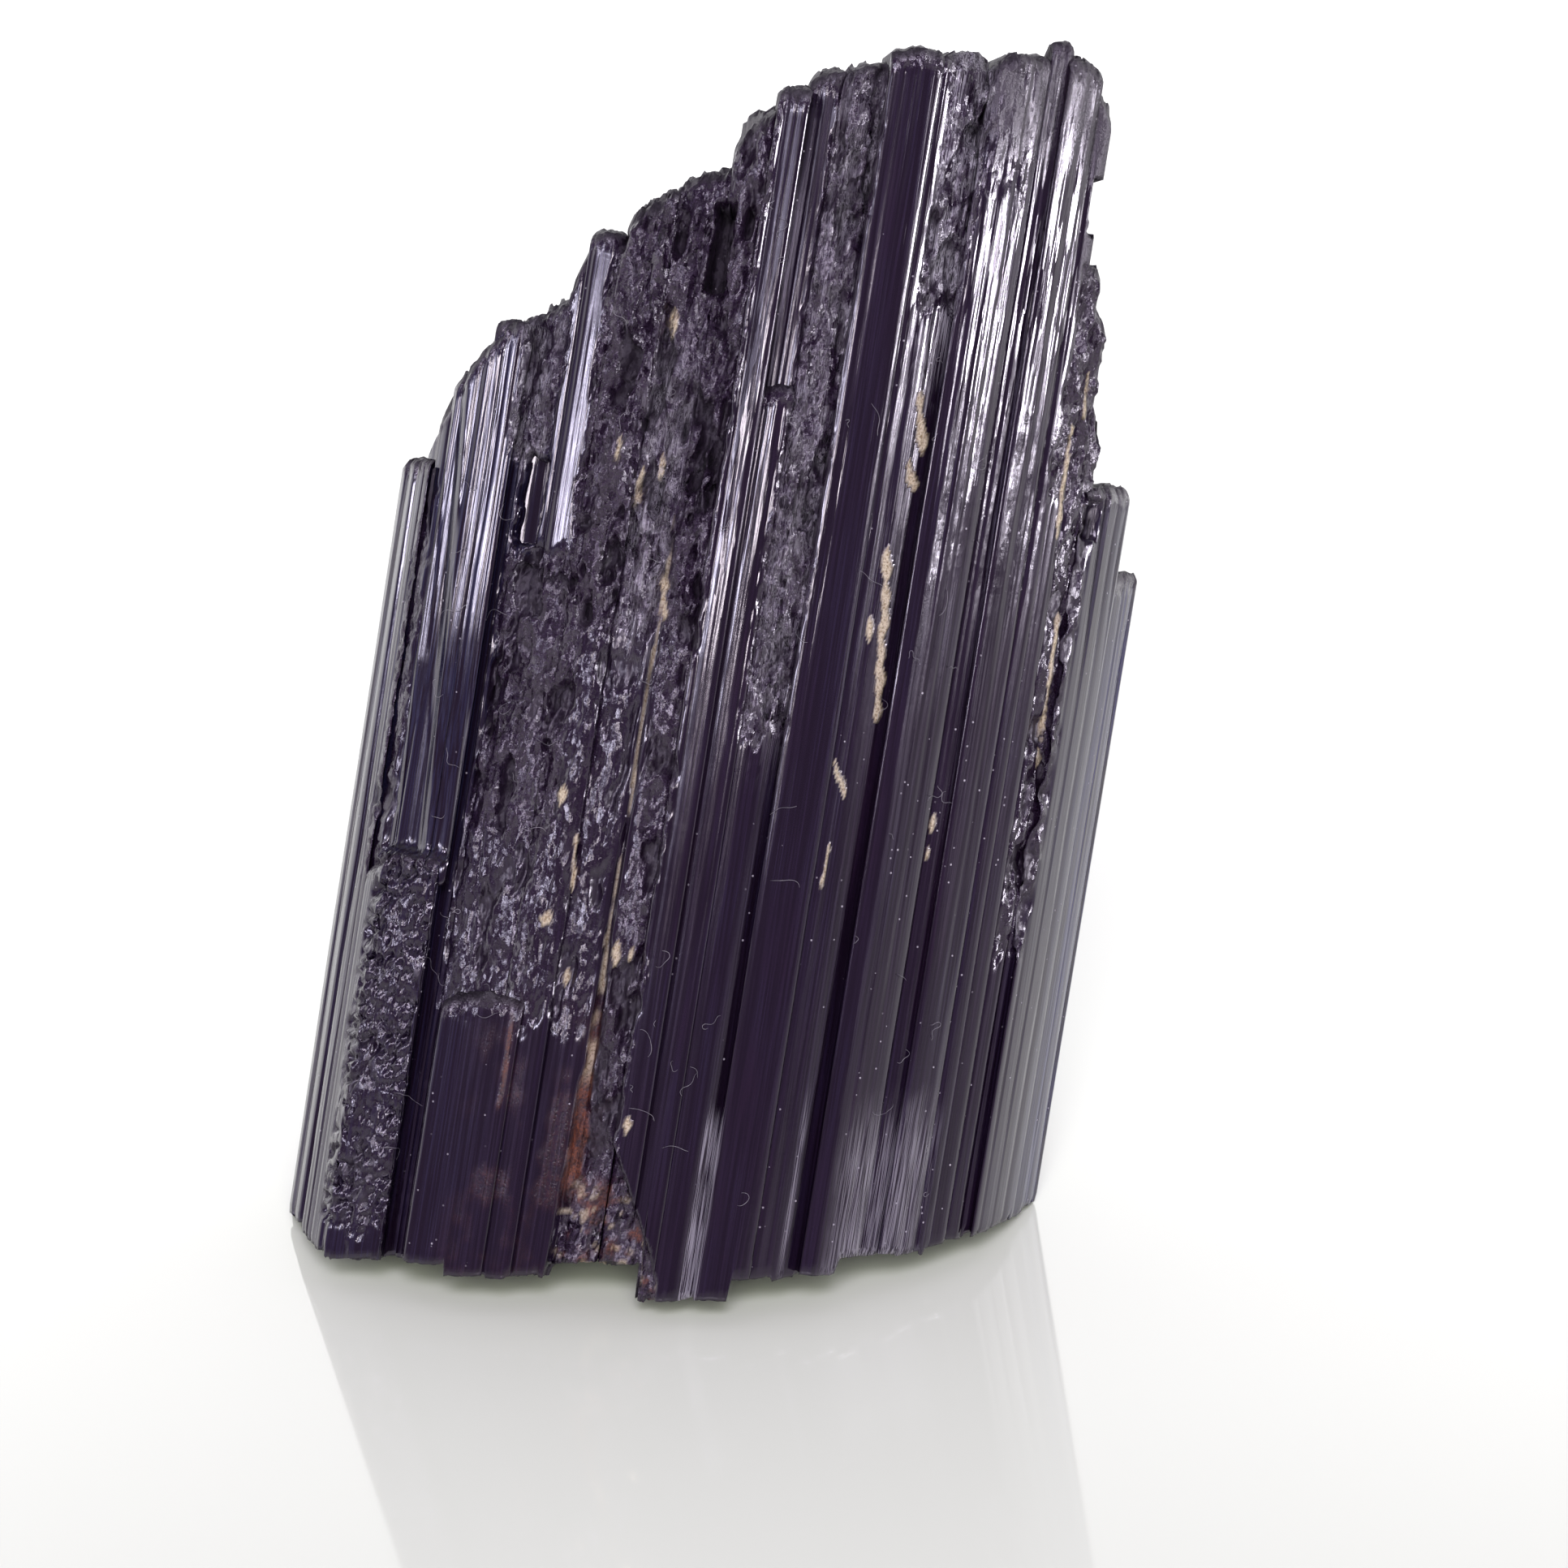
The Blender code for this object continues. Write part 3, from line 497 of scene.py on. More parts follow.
def column(outline, relief, row, side, spacing, step, seed, turned=0.0):
    """A whole column: plan points round it by rows up it, with rings that close both ends.

    On the face a point moves in by the relief at (P, S). On the sides it moves by
    (1 - share) times what its corner moves, and P carries the side ribs. A row lies at
    S = base + t (top - base). Near the top the face rounds in by r - sqrt(r^2 - x^2), and
    the sides draw in."""
    deep = 4.2 + 0.8 * lattice(seed, np.array(3), np.array(5))
    p, q, way, inward, share, drawn_in, corner_of, count = column_plan(
        outline, row, side, spacing, deep, turned)
    top = broken_top(p, side * q, row, seed)
    low = base_s(p, side * q) if row[6] is ROOT else row[6] + 0.4 * chips(p * 2, q * 2, seed)
    rows = int((top.max() - low.min()) / step)
    t = np.linspace(0, 1, rows)[:, None]
    s = low + t * (top - low)
    whole_p = np.broadcast_to(p, s.shape)
    push, broken, hollow = relief(np.broadcast_to(way, s.shape), whole_p, s, row[2])
    radius = 0.5 + 0.25 * rolling(whole_p * 0.8, s * 0, seed)
    rounded = radius * (1 - np.sqrt(1 - np.clip(1 - (top - s) / radius, 0, 0.85) ** 2))
    edge = 0.05 * (1 - ramp(s, low, low + 0.4))
    move = (push[:, corner_of] + rounded + edge) * (1 - share)
    broken = np.maximum(broken, 0.8 * (1 - ramp(top - s, 0.3, 1.2)))
    # Painted shade: the top edge and the sides near the top are marked to be coloured darker.
    worn_and_shade = 1 - ramp(top - s, 0.05, 0.5)
    near_top = 1 - ramp(top - s, 1.5, 6.0)
    hollow = np.maximum(hollow, 0.8 * near_top * ramp(share, 0.0, 0.05))
    pushed = q + inward[1] * move
    outward = np.where(np.arange(len(p)) < count + len(SIDE_STEPS) + 2, -1.0, 1.0)
    ribs = side_ribs(pushed, s, seed + 40) * ramp(share, 0, 0.04) * (share < 1)
    place_p = whole_p + inward[0] * move + outward * ribs + drawn_in * near_top
    return close_ends(place_p, pushed, s, (broken, hollow, worn_and_shade), row, side, seed)


def close_ends(p, q, s, marks, row, side, seed):
    """Adds rings that shrink to the middle at both ends, as r = 1 - k / rings. Returns P, Q,
    S and the marks: how broken, how much painted shade and mattness, and how worn and shaded."""
    shrink = (1 - np.arange(1, CAP_RINGS) / CAP_RINGS)[:, None]
    end_rows = []
    for edge in (0, -1):
        mid_p, mid_q = p[edge].mean(), q[edge].mean()
        ring_p, ring_q = mid_p + (p[edge] - mid_p) * shrink, mid_q + (q[edge] - mid_q) * shrink
        end_rows.append((ring_p, ring_q))
    (low_p, low_q), (top_p, top_q) = end_rows
    top_s = broken_top(top_p, side * top_q, row, seed)
    if row[6] is ROOT:
        low_s = base_s(low_p, side * low_q)
    else:
        low_s = row[6] + 0.4 * chips(low_p * 2, low_q * 2, seed)
    p = np.concatenate([low_p[::-1], p, top_p])
    q = np.concatenate([low_q[::-1], q, top_q]) * side
    s = np.concatenate([low_s[::-1], s, top_s])
    ring = np.ones(low_p.shape)
    # The end caps get full broken and worn marks and 0.8 of the shade mark: painted shade darkens them.
    marks = [np.concatenate([ring * cap, mark, ring * cap])
             for mark, cap in zip(marks, (1.0, 0.8, 1.0))]
    return [values[:, ::side] for values in (p, q, s, *marks)]


def heart_column(row, seed):
    """A hidden column of the heart: a six-sided plan, plain sides, a broken top."""
    start, end, front, back, top, jag = row
    middle = (front + back) / 2
    corners = np.array([(start, middle), (start + 0.8, front), (end - 0.7, front + 0.3),
                        (end, middle + 0.4), (end - 0.9, back), (start + 0.7, back),
                        (start, middle)])
    way = np.linspace(0, 6, 73)[:-1]
    p = np.interp(way, np.arange(7), corners[:, 0])
    q = np.interp(way, np.arange(7), corners[:, 1])
    as_row = (start, end, 0.0, top, top, jag, ROOT)
    top_s, low = broken_top(p, q, as_row, seed), base_s(p, q)
    t = np.linspace(0, 1, 34)[:, None]
    s = low + t * (top_s - low)
    p, q = np.broadcast_to(p, s.shape), np.broadcast_to(q, s.shape)
    q = q + side_ribs(p, s, seed)
    # Painted shade: the hidden columns darken towards their tops.
    marks = (np.full(s.shape, 0.4), 0.8 * (1 - ramp(top_s - s, 2.0, 5.0)),
             1 - ramp(top_s - s, 0.3, 1.5))
    return close_ends(p, q, s, marks, as_row, 1, seed)


def grid_faces(rows, around, first):
    """Quads between neighbouring rows of a closed loop, and fans that close both poles."""
    r, m = np.meshgrid(np.arange(rows - 1), np.arange(around), indexing="ij")
    on = (m + 1) % around
    quads = np.stack([r * around + m, r * around + on, (r + 1) * around + on,
                      (r + 1) * around + m], axis=-1).reshape(-1, 4)
    m = np.arange(around)
    on = (m + 1) % around
    low_pole, top_pole = rows * around, rows * around + 1
    last = (rows - 1) * around
    fans = np.concatenate([np.stack([np.full(around, low_pole), on, m], axis=-1),
                           np.stack([last + m, last + on, np.full(around, top_pole)], axis=-1)])
    return quads + first, fans + first


# Pale clay flecks on the front: P and S of the lower end, P and S of the upper end, width.
CLAY_FLECKS = [
    (5.98, 37.7, 5.39, 40.2, 0.42), (5.87, 36.0, 5.4, 37.1, 0.5), (5.55, 29.5, 5.03, 33.1, 0.4),
    (5.85, 25.4, 5.4, 29.9, 0.36), (4.95, 29.0, 4.74, 30.0, 0.26), (4.93, 21.8, 4.2, 23.2, 0.3),
    (4.53, 17.6, 4.53, 19.4, 0.14), (12.98, 34.8, 12.84, 40.1, 0.2), (13.9, 24.3, 13.7, 31.4, 0.2),
    (-7.61, 35.2, -7.61, 36.1, 0.22), (-5.59, 34.7, -5.59, 35.7, 0.24),
    (-6.45, 33.3, -6.4, 35.0, 0.26), (-6.0, 41.2, -6.05, 42.2, 0.26),
    (-4.4, 28.5, -4.7, 30.2, 0.3), (-7.75, 19.4, -7.7, 20.1, 0.4), (-6.6, 15.5, -6.8, 18.1, 0.14),
    (-7.6, 13.8, -7.5, 14.3, 0.8), (-6.22, 11.3, -6.2, 11.9, 0.3), (9.22, 20.8, 9.2, 21.4, 0.3),
    (9.2, 19.5, 9.19, 19.9, 0.2), (-2.5, 5.2, -2.5, 5.8, 0.42), (-4.15, 12.6, -4.2, 13.5, 0.3),
    (-3.5, 12.9, -3.5, 13.4, 0.24), (13.4, 40.4, 13.2, 42.6, 0.16),
]


def fleck(p, s, row):
    """A ragged fleck along the line from (P0, S0) to (P1, S1), 0 to 1: its half width is
    uneven along the way, and ramps to nothing at both ends."""
    p0, s0, p1, s1, width = row
    t = np.clip((s - s0) / (s1 - s0), 0, 1)
    middle = p0 + (p1 - p0) * t + 0.09 * uneven(p * 2, s * 2.2, 103)
    half = width / 2 * (0.85 + 0.6 * rolling(p * 1.1 + s * 0.3, s * 1.9, 101))
    half = half * ramp(s, s0 - 0.2, s0 + 0.25) * (1 - ramp(s, s1 - 0.25, s1 + 0.2))
    return (1 - ramp(np.abs(p - middle), half * 0.7, half + 0.03)) * (half > 0.02)


def clay_amount(p, s):
    """Pale clay on the front, 0 to 1: the flecks, a thin filling in the crevice and the
    mottled scrap of matrix in the corner beside its foot."""
    amount = np.zeros(p.shape)
    for row in CLAY_FLECKS:
        amount = np.maximum(amount, fleck(p, s, row))
    line = ramp(crevice_opening(p, s), 0.55, 0.95) * ramp(s, 6.5, 8.0)
    amount = np.maximum(amount, line * ramp(rolling(p * 3, s * 1.3, 105), -0.6, 0.1) * 0.6)
    mottle = ramp(uneven(p * 2.4, s * 3.1, 107), 0.3, 0.5)
    scrap = clay_corner(p, s) * (1 - ramp(s, 1.6, 3.0)) * mottle
    return np.maximum(amount, 0.55 * scrap)


def rust_amount(p, s):
    """Orange-brown iron stain, 0 to 1: a plug low in the crevice, a thin line in the spalled
    band, and a faint wash round both."""
    plug = patch(p + 0.2 * uneven(p * 2, s * 1.1, 111), s, (-4.9, -4.2, 2.2, 5.4), 0.1, 0.8)
    seam = crevice_opening(p, s) * ramp(s, 1.2, 2.2) * (1 - ramp(s, 7.0, 12.0))
    crumbs = clay_corner(p, s) * (1 - ramp(s, 1.8, 3.2)) * 0.8
    crumbs = crumbs * ramp(uneven(p * 1.7 + 5, s * 2.1, 119), 0.0, 0.4)
    line = patch(p + 0.1 * uneven(p, s, 113), s, (-8.46, -8.28, 5.5, 9.2), 0.06, 0.7) * 0.7
    wash = 0.12 * patch(p, s, (-9.5, -4.0, -3.0, 9.5), 1.2, 3.0)
    wash = wash * ramp(uneven(p * 0.9, s * 0.6, 115), -0.15, 0.4)
    return np.maximum.reduce([plug, 0.8 * seam, line, wash, crumbs])


def streakiness(p, s, front):
    """How strongly the long streaks tilt the surface, 0 to 1: most on the right columns
    above S 30, some on the ridge and on the lower right, little elsewhere."""
    right = ramp(p, 3.6, 5.0) * ramp(s, 37.5, 45.0)
    ridge = 0.7 * patch(p, s, (-3.1, -1.6, 31.0, 44.0), 0.1, 3.0)
    low = 0.5 * patch(p, s, (7.3, 12.2, -3.0, 7.0), 0.4, 2.0)
    return 0.12 + 0.88 * front * np.maximum.reduce([right, ridge, low])


def painted_glints(p, s):
    """Painted silvery highlights and glints, 0 to 1: a narrow strip beside the middle of the foot,
    a broad patch low on the bright columns, a thin strip low on the ribs between them, and a
    thinner glitter on the splinters right of the slot, beside the crevice and on the rough strips."""
    waver = 0.3 * uneven(p * 1.3, s * 0.5, 121)
    strip = patch(p, s + 3 * waver, (1.02, 1.8, -3.0, 6.6), 0.06, 0.8)
    broad = 0.65 * patch(p + waver, s + 4 * waver, (7.7, 11.6, -3.0, 7.0), 0.7, 2.0)
    thin = 0.7 * patch(p, s, (5.35, 5.6, 0.0, 7.5), 0.08, 1.5)
    beside = 0.6 * patch(p + waver, s + 4 * waver, (-6.6, -4.6, 27.0, 41.0), 0.4, 2.0)
    spalled = 0.6 * patch(p, s, (-12.7, -10.9, 34.6, 41.0), 0.2, 0.8)
    rows = 0.45 * patch(p, s, (-0.2, 1.7, 24.0, 54.0), 0.2, 3.0)
    rough = patch(p, s, (4.6, 6.4, 42.0, 57.0), 0.2, 3.0)
    glitter = np.maximum.reduce([beside, spalled, rows, rough])
    glitter = glitter * ramp(chips(p / 0.4, s / 0.8, 123), -0.7, 0.3)
    return np.maximum.reduce([strip, broad, thin, glitter])


def dulled_and_shaded(p, s):
    """Where the gloss is worn soft and painted shade darkens the colour, 0 to 1: patches near
    the tops of the bright columns and on their right edge."""
    patches = 0.35 + 0.65 * ramp(uneven(p * 2.2, s * 0.4, 131), -0.35, 0.25)
    tops = patch(p, s, (6.4, 12.7, 52.0, 60.0), 0.3, 2.5) * patches
    return 0.5 * np.maximum(tops, patch(p, s, (11.9, 12.8, 46.5, 60.0), 0.1, 1.0))


# Marks kept on the pieces for the finish. The second and third also paint shade into the colour, and the last
# paints silvery highlights.
MARKS = ("broken", "hollow", "worn_and_shade", "clay", "rust", "streaky", "glint_paint")


def schorl_columns(name, shells, material):
    """One piece from its columns' grids, with the attributes that its finish reads."""
    places, marks, quads, fans, first = [], [], [], [], 0
    for p, q, s, *own, front in shells:
        rows, around = p.shape
        poles = np.array([[values[0].mean(), values[-1].mean()] for values in (p, q, s)])
        flat = [np.append(values.ravel(), pole) for values, pole in zip((p, q, s), poles)]
        places.append(to_world(*flat))
        on_front = ramp(-(flat[1] - np.interp(flat[0], FRONT[:, 0], FRONT[:, 1])), -3.2, -2.6)
        on_front = on_front * front
        broken, hollow, worn_and_shade = (np.append(mark.ravel(), [mark[0, 0], mark[-1, 0]])
                                for mark in own)
        # The dulled patches also darken the colour as painted shade.
        worn_and_shade = np.maximum(worn_and_shade, dulled_and_shaded(flat[0], flat[2]) * on_front)
        marks.append(np.stack([broken, hollow, worn_and_shade,
                               clay_amount(flat[0], flat[2]) * on_front,
                               rust_amount(flat[0], flat[2]) * on_front,
                               streakiness(flat[0], flat[2], front),
                               painted_glints(flat[0], flat[2]) * on_front]))
        grid, fan = grid_faces(rows, around, first)
        quads.append(grid)
        fans.append(fan)
        first += len(flat[0])
    places, marks = np.concatenate(places), np.concatenate(marks, axis=1)
    places[:, 2] = np.maximum(places[:, 2], 0.0)
    return closed_piece(name, places, np.concatenate(quads), np.concatenate(fans), marks, material)


def closed_piece(name, places, quads, fans, marks, material):
    """A piece from its places in metres, its quads, its end fans and its marks."""
    mesh = bpy.data.meshes.new(name)
    mesh.vertices.add(len(places))
    mesh.vertices.foreach_set("co", places.astype(np.float32).ravel())
    mesh.loops.add(quads.size + fans.size)
    mesh.loops.foreach_set("vertex_index", np.concatenate([quads.ravel(), fans.ravel()]))
    sizes = np.concatenate([np.full(len(quads), 4), np.full(len(fans), 3)])
    mesh.polygons.add(len(sizes))
    mesh.polygons.foreach_set("loop_start", np.concatenate([[0], np.cumsum(sizes)[:-1]]))
    mesh.update(calc_edges=True)
    for label, values in zip(MARKS, marks):
        mesh.attributes.new(label, "FLOAT", "POINT").data.foreach_set(
            "value", values.astype(np.float32))
    mesh.materials.append(material)
    piece = bpy.data.objects.new(name, mesh)
    bpy.context.scene.collection.objects.link(piece)
    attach(piece, BODY)
    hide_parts(NODE)
    print(name, len(quads) * 2 + len(fans), "triangles")
    return piece


def front_q(p, s):
    """Q of the foremost front column at each place (P, S)."""
    lengths = way_round(FRONT)
    way = np.interp(p, FRONT[:, 0], lengths) - lengths[-1] / 2
    outline, foremost = np.interp(p, FRONT[:, 0], FRONT[:, 1]), np.full(p.shape, 9.0)
    for rows in FRONT_GROUPS.values():
        for label, (start, end, set_back, left, right, _, low) in rows.items():
            top = left + (right - left) * np.clip((p - start) / (end - start), 0, 1)
            inside = (p > start) & (p < end) & (s < top) & (s > (-9 if low is ROOT else low))
            turn = math.tan(math.radians(TURNED.get(label, 0.0))) * (p - (start + end) / 2)
            q = outline + set_back + turn + front_relief(way, p, s, set_back)[0]
            foremost = np.where(inside, np.minimum(foremost, q), foremost)
    return foremost


def lint(material):
    """Curly fibres caught on the front, each a thin four-sided thread. Its heading at t is
    a0 + bend t + curl sin(w t), its way is the running sum of the headings, and it stands
    off the surface most in its middle, as sin(pi t)."""
    rng = np.random.default_rng(77)
    steps = 15
    t = np.linspace(0, 1, steps)
    length, heading, bend, curl, wave = rng.uniform(
        [0.4, 0, -4, 0.2, 4], [1.7, 6.28, 4, 1.3, 11], (LINT_FIBRES, 5)).T[:, :, None]
    heading = heading + bend * t + curl * np.sin(wave * t)
    start_p = rng.uniform(-15.0, 13.0, (LINT_FIBRES, 1))
    top = np.interp(start_p, [-15.0, -10.0, -3.0, 4.0, 13.0], [36.0, 43.0, 51.0, 54.0, 42.0])
    start_s = 2.0 + rng.uniform(0, 1, (LINT_FIBRES, 1)) * (top - 4.0)
    p = start_p + np.cumsum(np.cos(heading), axis=1) * length / steps
    s = start_s + np.cumsum(np.sin(heading), axis=1) * length / steps
    q = front_q(p, s)
    near = np.minimum(q, np.minimum(np.roll(q, 1, axis=1), np.roll(q, -1, axis=1)))
    eased = (near + np.roll(near, 1, axis=1) + np.roll(near, -1, axis=1)) / 3
    q = np.minimum(near, eased) - 0.03 - 0.1 * np.sin(np.pi * t)
    middle = to_world(p, q, s)
    along = np.gradient(middle, axis=1)
    along = along / np.linalg.norm(along, axis=2, keepdims=True)
    out = np.cross(along, AXES[:, 1])
    out = out / np.linalg.norm(out, axis=2, keepdims=True)
    up = np.cross(out, along)
    thick = (LINT_RADIUS * MM * (1 - 0.5 * (2 * t - 1) ** 4))[None, :, None, None]
    ring = np.stack([out, -up, -out, up], axis=2) * thick + middle[:, :, None]
    places = np.concatenate([ring.reshape(LINT_FIBRES, -1, 3), middle[:, [0, -1]]], axis=1)
    grids = [grid_faces(steps, 4, k * (steps * 4 + 2)) for k in range(LINT_FIBRES)]
    quads, fans = (np.concatenate(part) for part in zip(*grids))
    marks = np.zeros((len(MARKS), LINT_FIBRES * (steps * 4 + 2)))
    return closed_piece("lint_fibres", places.reshape(-1, 3), quads, fans, marks, material)


def crystal(material):
    """Every group of columns as one piece."""
    seed, pieces = 200, []
    for groups, outline, relief, side, spacing, step in (
            (FRONT_GROUPS, FRONT, front_relief, 1, FINE, ROW_FRONT),
            (BACK_GROUPS, BACK, back_relief, -1, COARSE, ROW_BACK)):
        for name, rows in groups.items():
            shells = []
            for label, row in rows.items():
                seed += 7
                turned = TURNED.get(label, 0.0)
                made = column(outline, relief, row, side, spacing, step, seed, turned)
                shells.append((*made, 1.0 if side > 0 else 0.0))
            pieces.append(schorl_columns(name, shells, material))
    shells = [(*heart_column(row, 700 + 7 * k), 0.0) for k, row in enumerate(HEART.values())]
    pieces.append(schorl_columns("heart_columns", shells, material))
    return pieces


class Finish:
    """Short ways to lay out a material's nodes."""

    def __init__(self, name):
        self.material = bpy.data.materials.new(name)
        self.material.use_nodes = True
        self.nodes = self.material.node_tree.nodes
        self.links = self.material.node_tree.links
        self.shader = self.nodes["Principled BSDF"]

    def add(self, kind, inputs=(), **settings):
        """A node with some settings, and its inputs set from a value or another output."""
        node = self.nodes.new(kind)
        for key, value in settings.items():
            setattr(node, key, value)
        for key, value in dict(inputs).items():
            self.feed(node.inputs[key], value)
        return node

    def feed(self, socket, value):
        """Links an output to the socket, or sets the socket's value."""
        if isinstance(value, bpy.types.NodeSocket):
            self.links.new(value, socket)
        else:
            socket.default_value = value

    def math(self, operation, a, b=0.0, clamp=False):
        node = self.add("ShaderNodeMath", operation=operation, use_clamp=clamp)
        self.feed(node.inputs[0], a)
        self.feed(node.inputs[1], b)
        return node.outputs[0]

    def mix(self, share, a, b):
        """A colour between a and b."""
        node = self.add("ShaderNodeMix", data_type="RGBA")
        self.feed(node.inputs["Factor"], share)
        self.feed(node.inputs[6], a)
        self.feed(node.inputs[7], b)
        return node.outputs[2]

    def between(self, value, low, high, to_low=0.0, to_high=1.0):
        """The value's range from low to high, spread over another range and held inside it."""
        node = self.add("ShaderNodeMapRange", clamp=True)
        for key, number in zip(range(5), (value, low, high, to_low, to_high)):
            self.feed(node.inputs[key], number)
        return node.outputs[0]

    def attribute(self, name):
        return self.add("ShaderNodeAttribute", attribute_name=name).outputs["Fac"]

    def noise(self, place, scale, detail=2.0, roughness=0.5):
        node = self.add("ShaderNodeTexNoise", {"Vector": place, "Scale": scale, "Detail": detail,
                                               "Roughness": roughness})
        return node.outputs["Fac"]

    def stretched(self, place, scale):
        """The place with each axis scaled on its own."""
        return self.add("ShaderNodeMapping", {"Vector": place, "Scale": scale}).outputs[0]


def along_columns(finish):
    """Object coordinates turned to P, Q and S, in millimetres."""
    turned = LEAN.inverted().to_euler("XYZ")
    place = finish.add("ShaderNodeTexCoord").outputs["Object"]
    return finish.add("ShaderNodeMapping", {"Vector": place, "Rotation": turned,
                                            "Scale": (1000, 1000, 1000)}).outputs[0]


def facets(finish, place, scale, amount):
    """A vector that tilts the surface by its own amount in each scattered cell."""
    cells = finish.add("ShaderNodeTexVoronoi", {"Vector": place, "Scale": scale})
    centred = finish.add("ShaderNodeVectorMath", operation="SUBTRACT")
    finish.feed(centred.inputs[0], cells.outputs["Color"])
    centred.inputs[1].default_value = (0.5, 0.5, 0.5)
    scaled = finish.add("ShaderNodeVectorMath", operation="SCALE")
    finish.feed(scaled.inputs[0], centred.outputs[0])
    finish.feed(scaled.inputs["Scale"], amount)
    return scaled.outputs[0]


def streaks(finish, place, cell, amount):
    """A vector that tilts the surface sideways, along P, and a little up or down, along S, in
    long cells."""
    cells = finish.add("ShaderNodeTexVoronoi", {"Vector": finish.stretched(place, cell),
                                                "Scale": 1.0})
    split = finish.add("ShaderNodeSeparateColor", {"Color": cells.outputs["Color"]})
    parts = []
    for channel, axis, share in ((0, 0, 1.0), (1, 2, 0.25)):
        lean = finish.math("MULTIPLY", finish.math("SUBTRACT", split.outputs[channel], 0.5),
                           finish.math("MULTIPLY", amount, share))
        scaled = finish.add("ShaderNodeVectorMath", operation="SCALE")
        scaled.inputs[0].default_value = AXES[:, axis]
        finish.feed(scaled.inputs["Scale"], lean)
        parts.append(scaled.outputs[0])
    return plus(finish, *parts)


def plus(finish, a, b):
    """The sum of two vectors."""
    node = finish.add("ShaderNodeVectorMath", operation="ADD")
    finish.feed(node.inputs[0], a)
    finish.feed(node.inputs[1], b)
    return node.outputs[0]


def schorl_finish():
    """Black glassy schorl with a purple cast, hair-fine striae along the columns, glinting
    facets where it is broken, specks of dust, and rust and pale clay where their attributes
    say. Painted into the colour: shade in the striae grooves, in pits and pockets and near the
    tops, a blue sheen on the flanks and the right column, and silvery highlights."""
    finish = Finish("schorl_black")
    place = along_columns(finish)
    broken, hollow, worn_and_shade, clay, rust, streaky, glint_paint = (finish.attribute(mark) for mark in MARKS)
    hair = finish.noise(finish.stretched(place, (9.0, 9.0, 0.12)), 1.0, 2.0, 0.55)
    thread = finish.noise(finish.stretched(place, (24.0, 24.0, 0.35)), 1.0, 1.0)
    cloud = finish.noise(finish.stretched(place, (0.5, 0.5, 0.12)), 1.0, 3.0, 0.6)
    grit = finish.noise(place, 2.6, 5.0, 0.62)
    crumbs = finish.noise(place, 9.0, 3.0, 0.6)

    smooth = finish.mix(finish.between(cloud, 0.35, 0.65), (0.0190, 0.0080, 0.0240, 1.0),
                        (0.0190, 0.0120, 0.0330, 1.0))
    apart = finish.add("ShaderNodeSeparateXYZ", {"Vector": place}).outputs
    across = apart["X"]
    # Painted sheen: the flanks are tinted blue, less low down, and the right column much bluer.
    side = finish.between(finish.math("ABSOLUTE", across), 11.0, 15.5, 0.0, 0.85)
    side = finish.math("MULTIPLY", side, finish.between(apart["Z"], 6.0, 24.0, 0.35, 1.0))
    smooth = finish.mix(side, smooth, (0.018, 0.021, 0.060, 1.0))
    smooth = finish.mix(finish.between(across, 13.6, 14.8), smooth, (0.020, 0.019, 0.115, 1.0))
    splinter = finish.mix(finish.between(crumbs, 0.4, 0.75), (0.017, 0.007, 0.021, 1.0),
                          (0.056, 0.034, 0.072, 1.0))
    # Painted shade: the colour darkens along the low lines of the hair striae, the grooves of the bump.
    smooth = finish.mix(finish.between(hair, 0.42, 0.62), (0.0090, 0.0042, 0.0120, 1.0), smooth)
    colour = finish.mix(broken, smooth, splinter)
    # Painted shade: the colour darkens in pits, pockets, on the caps and near the column tops.
    shaded = finish.math("MULTIPLY", finish.math("MAXIMUM", hollow, worn_and_shade), 0.85)
    colour = finish.mix(shaded, colour, (0.009, 0.004, 0.011, 1.0))
    rusty = finish.mix(finish.between(grit, 0.35, 0.65), (0.060, 0.020, 0.012, 1.0),
                       (0.36, 0.10, 0.028, 1.0))
    colour = finish.mix(finish.math("MULTIPLY", rust, finish.between(crumbs, 0.25, 0.6), True),
                        colour, rusty)
    pale = finish.mix(finish.between(crumbs, 0.35, 0.55), (0.42, 0.30, 0.14, 1.0),
                      (0.98, 0.85, 0.61, 1.0))
    colour = finish.mix(clay, colour, pale)
    dust = finish.add("ShaderNodeTexVoronoi", {"Vector": place, "Scale": 2.1})
    chosen = finish.add("ShaderNodeSeparateColor", {"Color": dust.outputs["Color"]})
    speck = finish.between(dust.outputs["Distance"], 0.07, 0.12, 1.0, 0.0)
    speck = finish.math("MULTIPLY", speck, finish.between(chosen.outputs[1], 0.62, 0.95), True)
    colour = finish.mix(speck, colour, (0.55, 0.52, 0.58, 1.0))
    # Painted highlights: silvery grey streaks and glints where the glint mark says.
    glint_mask = finish.math("MULTIPLY", glint_paint, finish.between(thread, 0.44, 0.56), True)
    colour = finish.mix(finish.math("MULTIPLY", glint_mask, 0.8), colour, (0.52, 0.50, 0.56, 1.0))
    finish.feed(finish.shader.inputs["Base Color"], colour)

    soil = finish.math("MAXIMUM", clay, rust)
    gloss = finish.between(hair, 0.3, 0.7, 0.10, 0.18)
    matt = finish.math("MAXIMUM", finish.math("MULTIPLY", worn_and_shade, 0.45),
                       finish.math("MULTIPLY", hollow, 0.6))
    soiled = finish.math("MULTIPLY", finish.math("MAXIMUM", soil, speck), 0.5)
    rough = finish.math("ADD", finish.math("ADD", gloss, matt), soiled, True)
    finish.feed(finish.shader.inputs["Roughness"], rough)
    finish.shader.inputs["IOR"].default_value = 1.64
    finish.shader.inputs["Specular Tint"].default_value = (0.93, 0.86, 1.0, 1.0)

